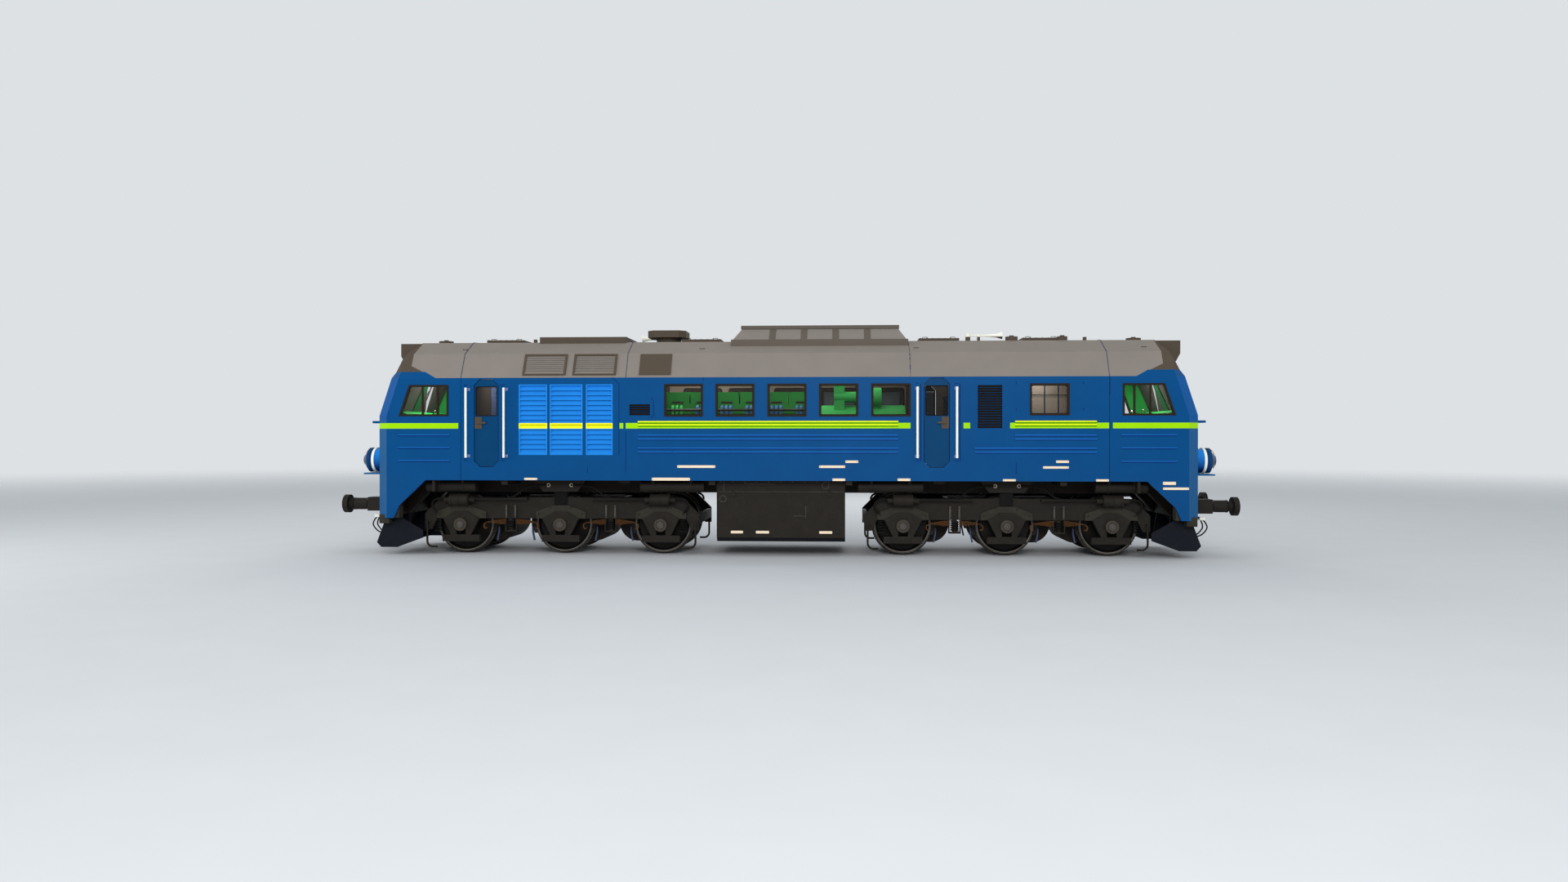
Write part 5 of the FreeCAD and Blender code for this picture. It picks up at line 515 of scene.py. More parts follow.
def lamp_paint(tree, at, p):
    """Blue barrels painted lighter at the top and darker downwards as painted light and shade, with a darker
    front, a paler foot in the nose corners' highlight blue, and a headlight box whose brown is painted shade.
    """
    share = add(tree, "ShaderNodeMapRange", {"Value": at.z, "From Min": 1.66, "From Max": 2.0})[0]
    return layered(tree, linear("06286E"), (p.lit_blue, share),
                   (linear("14406E"), (at.length, (8.012, BEYOND))), (p.corner, (at.z, (1.5, 1.622))),
                   (p.brown, (at.z, (3.4, BEYOND))))


def dome_paint(tree, at, p):
    """Dark blue lamp glass painted lighter upwards as a painted highlight, and pale glass in the headlights
    above.
    """
    share = add(tree, "ShaderNodeMapRange", {"Value": at.z, "From Min": 1.70, "From Max": 2.05})[0]
    return layered(tree, linear("0A1E46"), (linear("2A6C9C"), share),
                   (linear("E8EEF2"), (at.z, (3.4, BEYOND))))


def cabinet_paint(tree, at, p):
    """Brown doors in a beige frame, with navy shadow gaps between the columns."""
    doors = (at.width, (0, 0.767))
    gaps = [(3.736 + 0.264 * column, 3.764 + 0.264 * column) for column in range(8)]
    return layered(tree, p.lining, (p.cabinet, doors), (linear("1E2640"), (at.x, *gaps), doors))


def tank_paint(tree, at, p):
    """Chassis black with a blue-black foot, painted shade under the tank's bevelled bottom."""
    return layered(tree, p.chassis, (p.shadow, (at.z, (0, 0.37))))


def door_paint(tree, at, p):
    """Dark blue leaf, darker than the body as painted shade of its recess, with a brown lock plate and lever,
    and a brown lining.
    """
    return layered(tree, p.door, (p.brown, (at.z, (2.44, 2.69)), (at.width, (SIDE_Y - 0.013, BEYOND))),
                   (p.window, (at.width, (0, SIDE_Y - 0.058))))


def monitor_paint(tree, at, p):
    """Grey panels between brown posts, under a brown cap."""
    cap = linear("665E55")
    posts = [(x - 0.064, x + 0.064) for x in (-0.187, 0.429, 1.045, 1.661)]
    return layered(tree, cap, (p.roof, (at.z, (4.188, 4.4245))), (cap, (at.x, *posts)))


def grille_paint(tree, at, p):
    """Brown frames round grey slats."""
    slats = (at.x, (-4.898, -4.145), (-3.929, -3.176)), (at.z, (3.506, 3.846))
    return layered(tree, p.brown, (p.roof, *slats))


def band_paint(tree, at, p):
    """Chassis black with the bands proud of the side frames painted lighter as a painted highlight, and pads
    over the middle axles painted near black as painted shade.
    """
    proud = (at.width, (1.043, BEYOND))
    return layered(tree, p.chassis, (p.band, proud, (at.z, (0, 0.98))),
                   (linear("060606"), proud, (at.z, (0.98, BEYOND))))


def wheel_paint(tree, at, p):
    """Dark centres, a polished ring near the rim and a bright tread, by distance from the nearest axle."""
    out = add(tree, "ShaderNodeMath", {0: at.length, 1: BOGIES["bogie_b"]}, operation="SUBTRACT")[0]
    along = add(tree, "ShaderNodeMath", {0: out, 1: AXLE_PITCH / 2, 2: -AXLE_PITCH / 2}, operation="WRAP")[0]
    up = add(tree, "ShaderNodeMath", {0: at.z, 1: AXLE_Z}, operation="SUBTRACT")[0]
    spot = add(tree, "ShaderNodeCombineXYZ", {"X": along, "Z": up})[0]
    radius = add(tree, "ShaderNodeVectorMath", {0: spot}, operation="LENGTH")["Value"]
    return layered(tree, linear("1B1917"), (linear("9A938A"), (radius, (0.522, 0.532), (0.545, 0.549))),
                   (linear("4A4540"), (radius, (0.558, BEYOND))))


def rail_paint(tree, at, p):
    """White rails on blue-grey feet."""
    return layered(tree, p.rail, (linear("5B7FB8"), (at.width, (0, 1.523))))


def horn_paint(tree, at, p):
    """White trumpets above brown drivers and clips."""
    return layered(tree, p.rail, (p.brown, (at.z, (0, 4.255))))


def soft_cover(name, colour):
    """Sewn vinyl: a fine pebble grain and a dull sheen."""
    material, tree, shader = new_material(name, 0.75)
    place = add(tree, "ShaderNodeTexCoord")["Object"]
    # Pebbles of 3 mm, drawn at 12 mm so that they show
    cells = add(tree, "ShaderNodeTexVoronoi", {"Vector": place, "Scale": 1000 / 12})["Distance"]
    tree.links.new(toned(tree, colour, grain(tree, place, 130), 0.85, 1.12), shader.inputs["Base Color"])
    bump = add(tree, "ShaderNodeBump", {"Height": cells, "Distance": 0.002})[0]
    tree.links.new(bump, shader.inputs["Normal"])
    return material


def clear_glass(name, colour):
    """Flat safety glass: mostly clear, with a faint tint and a sharp gloss."""
    material, tree, shader = new_material(name, 0.06, ior=1.52, gloss=0.2)
    at = sources(tree)
    tree.links.new(toned(tree, colour, grain(tree, at.place, 300), 0.94, 1.06), shader.inputs["Base Color"])
    # The far panes of the engine room and doors are made nearly opaque and dark, as painted shade of the view
    # through them
    dark = where(tree, (at.y, (0.5, BEYOND)), (at.length, (0, 6.2)))
    cover = add(tree, "ShaderNodeMapRange", {"Value": dark, "To Min": 0.06, "To Max": 0.9})[0]
    tree.links.new(cover, shader.inputs["Alpha"])
    material.surface_render_method = "BLENDED"
    return material


def lens_glass(name, paint, through):
    """Pressed lamp glass with upright ribs."""
    material, tree, shader = new_material(name, 0.1)
    shader.inputs["Transmission Weight"].default_value = through
    at = sources(tree)
    # Bands of a wave repeat every pi / (10 * scale) metres; ribs of 14 mm are drawn twice as wide to show
    ribs = {"Vector": at.place, "Scale": math.pi / (10 * 0.02762)}
    wave = add(tree, "ShaderNodeTexWave", ribs, bands_direction="Y")["Fac"]
    tree.links.new(toned(tree, laid_out(tree, at, paint), wave, 0.85, 1.0), shader.inputs["Base Color"])
    bump = add(tree, "ShaderNodeBump", {"Height": wave, "Distance": 0.002})[0]
    tree.links.new(bump, shader.inputs["Normal"])
    return material


def make_materials(p):
    """All finishes by their short names."""
    return {
        # Enamel sprayed on the outer sheets: flat clean colour with a soft wide highlight
        "body": enamel("blue_enamel_with_stripes_and_painted_light", livery, 0.32, 0.1),
        "door": enamel("shaded_blue_door_enamel_with_brown_lock", door_paint, 0.36, 0.06),
        "louvre": enamel("blue_louvre_enamel_with_painted_shade", louvre_paint, 0.4),
        "lit_blue": enamel("painted_highlight_blue_shutter_enamel", shutter_paint, 0.34, 0.02),
        "lamp_blue": enamel("blue_lamp_enamel_with_painted_light", lamp_paint, 0.3),
        "foot": enamel("pale_blue_pad_enamel", linear("7086BC"), 0.5),
        "white": enamel("white_rail_enamel", rail_paint),
        "horn": enamel("white_horn_enamel", horn_paint),
        "plain_white": enamel("white_ring_enamel", p.rail),
        "plate": enamel("cream_plate_enamel", p.plate, 0.4),
        # Enamel under years of exhaust on the roof and window frames: dull, with hardly a highlight
        "roof": enamel("grey_roof_enamel_with_shaded_front", roof_paint, 0.6),
        "brown": enamel("brown_fitting_enamel", p.brown, 0.55),
        "monitor": enamel("monitor_enamel", monitor_paint, 0.55),
        "grille": enamel("roof_grille_enamel", grille_paint, 0.55),
        "window": enamel("dark_window_frame_enamel", p.window, 0.45),
        # Sealant in the joints of the sheets, and painted shadow beside the handrails: a thin dark line
        "navy": enamel("navy_joints_and_painted_shadows", p.navy, 0.5),
        # Brushed enamel on machines and walls inside: even satin colour
        "engine": enamel("green_engine_enamel", p.engine, 0.55),
        "generator": enamel("light_green_enamel", p.generator, 0.6),
        "cabinet": enamel("cabinet_enamel", cabinet_paint, 0.5),
        "cab": enamel("green_cab_enamel", p.cab, 0.45),
        # Painted shade: a darker copy of the cab green for the windscreen pillars
        "pillar": enamel("shaded_green_pillar_enamel", linear("1B4A2A"), 0.5),
        "board": enamel("grey_board_enamel", linear("3F4446"), 0.5),
        "bulkhead": enamel("dark_brown_wall_enamel", linear("3A332C"), 0.6),
        "conduit": enamel("grey_blue_conduit_enamel", linear("4A5470"), 0.5),
        "pipe_blue": grimy_steel("blue_pipe_enamel", linear("3A5F8A"), 0.35, grime="1E3A55"),
        # Rolled and cast steel below the floor: near black, blotched with oil and brown dust
        "chassis": grimy_steel("dusty_chassis_steel", p.chassis),
        "tank": grimy_steel("dusty_tank_steel_with_shaded_foot", tank_paint),
        "bogie": grimy_steel("bogie_steel_with_painted_light_and_shade", band_paint),
        "band": grimy_steel("dusty_block_steel", p.band),
        "plough": grimy_steel("black_plough_steel", p.shadow, 0.5, grime="0E1218"),
        "cast": grimy_steel("cast_iron_caps", p.cast, 0.5, grime="2B2620"),
        "post": grimy_steel("bare_hanger_steel", linear("57534E"), 0.5),
        "black": grimy_steel("black_coil_steel", linear("0E0D0C"), 0.45),
        "rust": grimy_steel("rusty_spring_steel", p.rust, 0.75, grime="2A1A0E"),
        # Rolled tyre steel: a dull metal with a bright worn ring
        "wheel": grimy_steel("rolled_wheel_steel", wheel_paint, 0.38, 0.4),
        # Moulded rubber: matt black without a highlight
        "rubber": grimy_steel("moulded_hose_rubber", linear("14120F"), 0.7),
        # Brass and silvered sheet: clear metal gloss under a little tarnish
        "core": grimy_steel("finned_radiator_brass", linear("3A352E"), 0.6, grit=8),
        "brass": grimy_steel("pale_brass_ring", linear("D8CDB6"), 0.35, 0.5, grime="7A6A50"),
        "guard": grimy_steel("brass_lamp_guard", linear("C8A884"), 0.35, 0.3, grime="6A5030"),
        "mirror": grimy_steel("silvered_reflector", linear("B8B4AE"), 0.2, 0.9, grime="6A6660"),
        # Soft goods: a pebbled dull cover
        "blind": soft_cover("brown_blind_cloth", linear("332B24")),
        "seat": soft_cover("olive_vinyl_cover", p.seat),
        # Glass: clear in the windows with painted shade on the far panes, ribbed and part see-through in the
        # lamps
        "glass": clear_glass("window_glass_with_shaded_far_panes", linear("3F4446")),
        "lens": lens_glass("ribbed_lamp_glass_with_painted_light", dome_paint, 0.35),
        "red": lens_glass("red_lamp_glass", linear("C01822"), 0.3),
    }


# The nodes of the frame that wear each finish
FINISHED_NODES = {
    "body": "cab_a_shell cab_b_shell side_wall_near side_wall_far",
    "door": "door_a_near door_a_far door_b_near door_b_far",
    "roof": "cab_roofs roof_cooling roof_engine roof_rear",
    "brown": "fan_housing fan_rotor roof_fittings",
    "grille": "roof_grilles",
    "monitor": "roof_monitor",
    "core": "radiator_cores",
    "lit_blue": "radiator_shutters",
    "louvre": "side_louvres",
    "window": "window_frames",
    "glass": "window_panes",
    "horn": "horns",
    "white": "handrails",
    "lens": "lamp_lenses",
    "lamp_blue": "lamp_housings",
    "tank": "fuel_tank",
    "rubber": "air_hoses",
    "plough": "snow_ploughs",
    "engine": "engine",
    "generator": "generator",
    "cabinet": "electrical_cabinets",
    "bulkhead": "bulkheads",
    "cab": "driving_desks",
    "seat": "cab_seats",
    "wheel": "wheelset_1 wheelset_2 wheelset_3 wheelset_4 wheelset_5 wheelset_6",
    "bogie": "bogie_a_frame bogie_b_frame",
    "rust": "bogie_a_springs bogie_b_springs",
    "chassis": "underframe air_reservoirs buffer_housings buffer_plungers draw_gear bogie_a_axle_boxes "
               "bogie_b_axle_boxes bogie_a_brake_gear bogie_b_brake_gear bogie_a_motors bogie_b_motors",
}


class LOCO_OT_finishes(bpy.types.Operator):
    """Gives every node of the frame its finish"""
    bl_idname = "loco.finishes"
    bl_label = "Finishes"

    def execute(self, context):
        FINISHES.update(make_materials(context.scene.loco_paints))
        finish_of = {name: finish for finish, names in FINISHED_NODES.items() for name in names.split()}
        for name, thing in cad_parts.items():
            for holder in thing.material_slots:
                holder.material = FINISHES[finish_of[name]]
        return {"FINISHED"}


# Fittings on the body


class LOCO_OT_blank_plates(bpy.types.Operator):
    """Adds the blank cream plates: those of the near side, each on two screws, and those of the tank"""
    bl_idname = "loco.blank_plates"
    bl_label = "Blank plates"

    def execute(self, context):
        depth = context.scene.loco_sizes.plate_depth
        # Spots as x0, x1, z0, z1
        on_side = [
            (-4.899, -4.644, 1.472, 1.513), (-2.442, -1.708, 1.466, 1.521), (-1.958, -1.225, 1.708, 1.757),
            (0.735, 1.230, 1.710, 1.757), (1.230, 1.474, 1.805, 1.851), (0.986, 1.230, 1.466, 1.512),
            (2.208, 2.450, 1.468, 1.515), (4.166, 4.407, 1.466, 1.506), (5.147, 5.386, 1.810, 1.856),
            (4.905, 5.386, 1.704, 1.747), (5.882, 6.120, 1.466, 1.507), (7.104, 7.343, 1.405, 1.463),
            (7.104, 7.583, 1.313, 1.358)]
        on_tank = [(-0.957, -0.721, 0.45, 0.5), (-0.475, -0.222, 0.45, 0.5), (0.735, 0.983, 0.45, 0.5)]
        plates = [slab((x0, -face - depth, z0), (x1, 0.002 - face, z1))
                  for face, spots in ((SIDE_Y, on_side), (TANK_Y, on_tank)) for x0, x1, z0, z1 in spots]
        screws = [disc(0.006, 0.003, (x, -SIDE_Y - depth, (z0 + z1) / 2), (0, -1, 0), 8)
                  for x0, x1, z0, z1 in on_side for x in (x0 + 0.02, x1 - 0.02)]
        piece("blank_plates", plates, "plate")
        piece("plate_screws", screws, "cast")
        return {"FINISHED"}


class LOCO_OT_joint_lines(bpy.types.Operator):
    """Adds the joints of the sides and roof, strips of painted shadow beside the handrails and the pads of
    their feet
    """
    bl_idname = "loco.joint_lines"
    bl_label = "Joint lines"

    def execute(self, context):
        # Runs as x0, z0, x1, z1
        joints = [(-3.188, 3.42, -3.069, 3.30), (-3.069, 3.30, -3.069, 1.95), (-2.94, 2.40, -2.94, 1.62),
                  (-3.676, 1.70, -3.676, 1.61), (-1.46, 3.42, -1.46, 3.355), (-2.455, 3.03, -2.406, 2.99),
                  (-2.406, 2.99, -2.406, 2.70), (-2.406, 2.70, -2.455, 2.65), (4.413, 3.32, 4.413, 3.27),
                  (4.413, 2.83, 4.413, 2.78), (5.652, 3.32, 5.652, 3.27), (5.652, 2.83, 5.652, 2.78),
                  (4.413, 1.81, 4.413, 1.60), (6.137, 3.415, 6.137, 3.09)]
        # Strips of painted shadow beside the handrails
        rail_shadow_strips = [(x, 1.83, x, 3.292) for x in (-6.052, -5.333, 2.641, 3.372)]
        rail_ends = [(x - 0.03, z, x + 0.03, z) for x in (-6.03, -5.30, 2.58, 3.31) for z in (1.842, 3.296)]
        half_roof = np.array([(0, 4.2065), (0.7505, 4.1615), (1.2410, 3.9012), (1.4765, 3.425)])
        roof = np.concatenate([half_roof[:0:-1] * (-1, 1), half_roof])
        seams = [sweep(np.insert(roof, 0, x, 1), strip(0.003, 0.016), (1, 0, 0))
                 for x in (-6.13, -2.94, 6.13)]
        clips = (1.397, 3.587), (1.374, 3.634), (1.303, 3.777), (1.263, 3.858)
        seams += [slab((2.443, sign * y - 0.006, z - 0.014), (2.457, sign * y + 0.006, z + 0.014))
                  for sign in (-1, 1) for y, z in clips]
        pads = [slab((x, sign * 1.474, z - 0.028), (x + 0.082, sign * 1.486, z + 0.028), 0.1)
                for x in (-6.03, -5.294, 2.535, 3.267) for sign in (-1, 1) for z in (1.93, 3.205)]
        piece("roof_seams", seams, "navy")
        piece("rail_feet", pads, "foot")
        for side, sign in SIDES.items():
            y = sign * (SIDE_Y + 0.0005)
            lines = [sweep([(x0, y, z0), (x1, y, z1)], strip(0.003, width))
                     for width, runs in ((0.011, joints), (0.014, rail_shadow_strips), (0.010, rail_ends))
                     for x0, z0, x1, z1 in runs]
            piece(f"joint_lines_{side}", lines, "navy")
        return {"FINISHED"}


class LOCO_OT_window_seals(bpy.types.Operator):
    """Adds rubber seals round the panes of the sides and doors, and the panes of the doors"""
    bl_idname = "loco.window_seals"
    bl_label = "Window seals"

    def execute(self, context):
        shape = circle(context.scene.loco_sizes.seal_radius, 6)
        for side, sign in SIDES.items():
            paths = [ring_path(window, 0.036, sign * (SIDE_Y - 0.022)) for window in WINDOWS]
            piece(f"window_seals_{side}", [sweep(path, shape, loop=True) for path in paths], "rubber")
            for door, (x0, x1) in DOORS.items():
                leaf = f"{door}_{side}"
                path = ring_path((x0, x1, 2.664, 3.29), 0.038, sign * (SIDE_Y - 0.015), 0.02)
                piece(f"{leaf}_seal", [sweep(path, shape, loop=True)], "rubber", leaf)
                inner, outer = sign * (SIDE_Y - 0.032), sign * (SIDE_Y - 0.026)
                pane = slab((x0 + 0.03, inner, 2.695), (x1 - 0.03, outer, 3.259), 0.04)
                piece(f"{leaf}_pane", [pane], "glass", leaf)
        return {"FINISHED"}


class LOCO_OT_tank_details(bpy.types.Operator):
    """Adds weld beads, hand-hole rings and studs on both faces of the fuel tank"""
    bl_idname = "loco.tank_details"
    bl_label = "Tank details"

    def execute(self, context):
        # Runs as x0, z0, x1, z1
        welds = ((-1.20, 1.247, 1.20, 1.247), (-0.71, 1.396, -0.1, 1.396), (0.48, 0.98, 0.48, 0.74),
                 (0.25, 0.785, 0.48, 0.785), (-1.09, 1.46, -1.09, 1.26))
        beads = []
        for sign in SIDES.values():
            y, axis = sign * (TANK_Y + 0.0005), (0, sign, 0)
            for x, z, radius in ((0.855, 1.37, 0.066), (-1.11, 1.11, 0.064)):
                beads.append(sweep(arc((x, y, z), radius, radius, around(24)), circle(0.006, 6), loop=True))
                beads += [bolt(stud, axis, 0.007, 0.006) for stud in arc((x, y, z), 0.048, 0.048, around(6))]
            beads += [sweep([(x0, y, z0), (x1, y, z1)], circle(0.005, 6)) for x0, z0, x1, z1 in welds]
            beads += [bolt((x, y, 1.437), axis, 0.012, 0.01) for x in np.arange(-1.15, 1.2, 0.23)]
        piece("tank_beads", beads, "post")
        return {"FINISHED"}


class LOCO_OT_nose_details(bpy.types.Operator):
    """Adds reflectors, bulbs, rims and guards to the nose lamps, rims to the headlights, and the wipers"""
    bl_idname = "loco.nose_details"
    bl_label = "Nose details"

    def execute(self, context):
        lamp_x, lamp_y, lamp_z = 8.046, 1.0, 1.848
        bowl = [(0, 0), (0.19, 0), (0.19, 0.02), (0.14, 0.012), (0.06, 0.006), (0, 0.004)]
        bulb = [(0, 0.004), (0.05, 0.006), (0.05, 0.05), (0.035, 0.066), (0, 0.07)]
        rim = [(0.196, 0.046), (0.21, 0.05), (0.208, 0.062), (0.194, 0.058)]
        ring = [(0.222, -0.025), (0.243, -0.022), (0.243, 0.022), (0.222, 0.025)]
        headlight_rim = [(0.105, 0), (0.128, 0), (0.128, 0.01), (0.118, 0.014), (0.105, 0.012)]
        guard = arc((8.094, lamp_y, lamp_z), 0.122, 0.218, np.linspace(-0.25 * math.pi, 0.5 * math.pi, 24))
        # A wiper's foot, the direction up the windscreen, and the step off its glass
        foot, lean, out = np.array([(7.79, 0.6, 2.74), (-0.24, 0, 0.73), (0.012, 0, 0.004)])
        arm = foot + [out, lean * 0.35 + (0, 0.08, 0) + out * 1.6, lean * 0.72 + (0, 0.16, 0) + out]
        blade = foot + [lean * 0.22 + (0, 0.13, 0), lean * 0.86 + (0, 0.21, 0)] + out * 0.5
        bowls, bulbs, rims, rings, guards, wipers = ([] for _ in range(6))
        for flip in QUARTERS:
            axis = flip * (1, 0, 0)
            bowls.append(lathe(bowl, flip * (lamp_x, lamp_y, lamp_z), axis))
            bulbs.append(lathe(bulb, flip * (lamp_x, lamp_y, 1.86), axis, 16))
            rims.append(hoop(rim, flip * (lamp_x, lamp_y, lamp_z), axis))
            rings.append(hoop(ring, flip * (7.975, lamp_y, lamp_z), axis, 40))
            guards.append(sweep(flip * guard, circle(0.007, 6)))
            wipers += [sweep(flip * arm, circle(0.007, 6)), sweep(flip * blade, strip(0.012, 0.02)),
                       ball(flip * (foot + out), 0.022)]
        rims += [hoop(headlight_rim, (end * 7.788, 0, 4.06), (end, 0, 0)) for end in (-1, 1)]
        piece("lamp_reflectors", bowls, "mirror")
        piece("lamp_red_bulbs", bulbs, "red")
        piece("lamp_rims", rims, "cast")
        piece("lamp_rings", rings, "plain_white")
        piece("lamp_guards", guards, "guard")
        piece("wipers", wipers, "black")
        return {"FINISHED"}


class LOCO_OT_buffer_bolts(bpy.types.Operator):
    """Adds the bolts of each buffer flange and housing, and the rings at both ends of its sleeve"""
    bl_idname = "loco.buffer_bolts"
    bl_label = "Buffer bolts"

    def execute(self, context):
        buffer_y, buffer_z = 0.875, 0.975
        bolts, collars = [], []
        for flip in QUARTERS:
            axis = flip * (1, 0, 0)
            for over, up in ((-1, -1), (-1, 1), (1, -1), (1, 1)):
                on_flange = flip * (7.83, buffer_y + over * 0.149, buffer_z + up * 0.149)
                on_housing = flip * (8.172, buffer_y + over * 0.112, buffer_z + up * 0.094)
                bolts += [bolt(on_flange, axis, 0.014, 0.012), bolt(on_housing, axis, 0.016, 0.016)]
            collars += [strap(0.109, 0.120, flip * (x, buffer_y, buffer_z), axis) for x in (8.47, 8.19)]
        piece("buffer_bolts", bolts, "post")
        piece("buffer_collars", collars, "black")
        return {"FINISHED"}


class LOCO_OT_air_hoses(bpy.types.Operator):
    """Replaces the plain air hoses with looped pairs of hoses on white cocks"""
    bl_idname = "loco.air_hoses"
    bl_label = "Air hoses"

    def execute(self, context):
        # Runs of (x, z) from the cock down and back to the plough
        outer = np.array([(8.02, 0.715), (8.065, 0.667), (8.098, 0.60), (8.098, 0.56), (8.065, 0.499),
                          (7.999, 0.435), (7.85, 0.372)])
        inner = np.array([(7.985, 0.715), (8.012, 0.655), (8.027, 0.60), (8.02, 0.555), (7.969, 0.483),
                          (7.911, 0.435), (7.85, 0.405)])
        cock_y = 0.9
        stub = np.array([(7.79, cock_y, 0.80), (7.88, cock_y, 0.79), (7.96, cock_y, 0.745)])
        hoses, cocks = [], []
        for flip in QUARTERS:
            hoses += [sweep(rounded(flip * np.insert(run, 1, y, 1), 0.04), circle(0.0135))
                      for run, y in ((outer, cock_y + 0.016), (inner, cock_y - 0.016))]
            hoses.append(sweep(flip * stub, circle(0.022)))
            cocks.append(slab(flip * (7.952, cock_y - 0.04, 0.708),
                              flip * (8.062, cock_y + 0.04, 0.775), 0.3))
        piece("hose_pairs", hoses, "rubber", replaces=("air_hoses",))
        piece("hose_cocks", cocks, "plain_white")
        return {"FINISHED"}


class LOCO_OT_skirt_blocks(bpy.types.Operator):
    """Adds the foot blocks and brackets inside the skirts, and the cable ducts under the floor"""
    bl_idname = "loco.skirt_blocks"
    bl_label = "Skirt blocks"

    def execute(self, context):
        blocks, brackets, ducts = [], [], []
        for flip in QUARTERS:
            blocks += [slab(flip * (x0, 1.25, z0), flip * (x1, 1.43, z1), 0.1)
                       for x0, x1, z0, z1 in ((7.56, 7.755, 0.625, 0.80), (7.354, 7.499, 0.735, 0.99))]
            brackets.append(slab(flip * (6.655, 1.25, 1.24), flip * (6.712, 1.43, 1.47), 0.1))
            ducts.append(slab(flip * (5.3, 0.32, 1.127), flip * (6.80, 0.42, 1.33), 0.08))
        piece("cable_ducts", ducts, "plough")
        piece("skirt_foot_blocks", blocks, "band")
        piece("skirt_brackets", brackets, "chassis")
        return {"FINISHED"}


class LOCO_OT_roof_details(bpy.types.Operator):
    """Adds the handles and bolts of the roof hatches, blocks on the roof and the small marks on its slopes"""
    bl_idname = "loco.roof_details"
    bl_label = "Roof details"

    def execute(self, context):
        hatch_z = 4.236
        handles, bolts = [], []
        for x0, x1 in ((-5.95, -5.20), (-2.016, -1.231), (2.683, 3.467), (4.694, 5.434)):
            for side in SIDES.values():
                for x in (x0 + 0.12, x1 - 0.12):
                    run = [(x - 0.05, hatch_z), (x - 0.05, 4.262), (x + 0.05, 4.262), (x + 0.05, hatch_z)]
                    handles.append(sweep(rounded(np.insert(run, 1, side * 0.40, 1), 0.02), circle(0.006, 6)))
                bolts += [bolt((x, side * 0.455, hatch_z), (0, 0, 1), 0.009, 0.008)
                          for x in np.arange(x0 + 0.03, x1, 0.12)]
        marks = [slab((x - 0.011, y - 0.01, 3.996), (x + 0.011, y + 0.01, 4.008))
                 for middle in (-6.19, -1.53, 2.585, 6.87) for x in (middle - 0.035, middle, middle + 0.035)
                 for y in (-1.058, 1.058)]
        blocks = [slab((x, side * 0.42, 4.165), (x + 0.065, side * 0.48, 4.248), 0.1)
                  for x in (-5.002, 5.87) for side in SIDES.values()]
        piece("roof_blocks", blocks, "brown")
        piece("hatch_handles", handles, "window")
        piece("hatch_bolts", bolts, "brown")
        piece("roof_marks", marks, "window")
        return {"FINISHED"}


# Running gear


class LOCO_OT_springs(bpy.types.Operator):
    """Replaces the plain springs with curved leaf packs, coils on their seats and the small end coils"""
    bl_idname = "loco.springs"
    bl_label = "Springs"

    def execute(self, context):
        sizes = context.scene.loco_sizes
        y, width, seat_z, shelf_z = 1.03, 0.086, 0.446, 0.478
        inner, outer = y - 0.045, y + 0.045
        # One half of a leaf pack, each leaf shorter and lower than the last, and the hook at its end
        half_pack = []
        for number in range(sizes.leaf_count):
            s = np.linspace(0.09, 0.50 - 0.055 * number, 14)
            z = 0.690 - 0.0165 * number - 0.066 * (s / 0.5) ** 2
            half_pack.append((np.stack([s, 0 * s + y, z], -1), strip(width, 0.007)))
        hook = arc((0.505, y, 0.56), 0.034, 0.05, np.linspace(math.pi * 0.6, -math.pi * 0.75, 16))
        half_pack.append((hook, strip(width, 0.012)))
        for body, pivot in BOGIES.items():
            leaves, coils, seats, end_coils = ([] for _ in range(4))
            for middle in (np.array((pivot + step, 0, 0)) for step in BETWEEN_AXLES):
                for flip in QUARTERS:
                    leaves += [sweep(middle + flip * path, shape) for path, shape in half_pack]
                    seats.append(slab(middle + flip * (0.096, inner, seat_z),
                                      middle + flip * (0.118, outer, 0.7055)))
                    seats.append(bolt(middle + flip * (0.088, outer, 0.462), flip * (0, 1, 0), 0.012, 0.01))
                for side in SIDES.values():
                    foot = middle + (0, side * y, 0.497)
                    coil = helix(foot, (0.067, 0.067), 0.19, sizes.coil_turns, 100)
                    coils.append(sweep(coil, circle(0.017), (0, 0, 1)))
                    seats.append(slab(middle + (-0.118, side * inner, seat_z),
                                      middle + (0.118, side * outer, shelf_z)))
                    seats.append(disc(0.05, 0.226, middle + (0, side * y, shelf_z), (0, 0, 1)))
            for flip in QUARTERS:
                foot = (pivot, 0, 0) + flip * (AXLE_PITCH + 0.43, 1.09, 0.49)
                end_coils.append(sweep(helix(foot, (0.05, 0.042), 0.2, 4, 70), circle(0.011, 6), (0, 0, 1)))
                end_coils.append(slab(foot - (0.07, 0.05, 0.025), foot + (0.07, 0.05, -0.008)))
            piece(f"{body}_leaf_packs", leaves, "rust", body, (f"{body}_springs",))
            piece(f"{body}_coil_springs", coils, "black", body)
            piece(f"{body}_spring_seats", seats, "chassis", body)
            piece(f"{body}_end_coils", end_coils, "black", body)
        return {"FINISHED"}


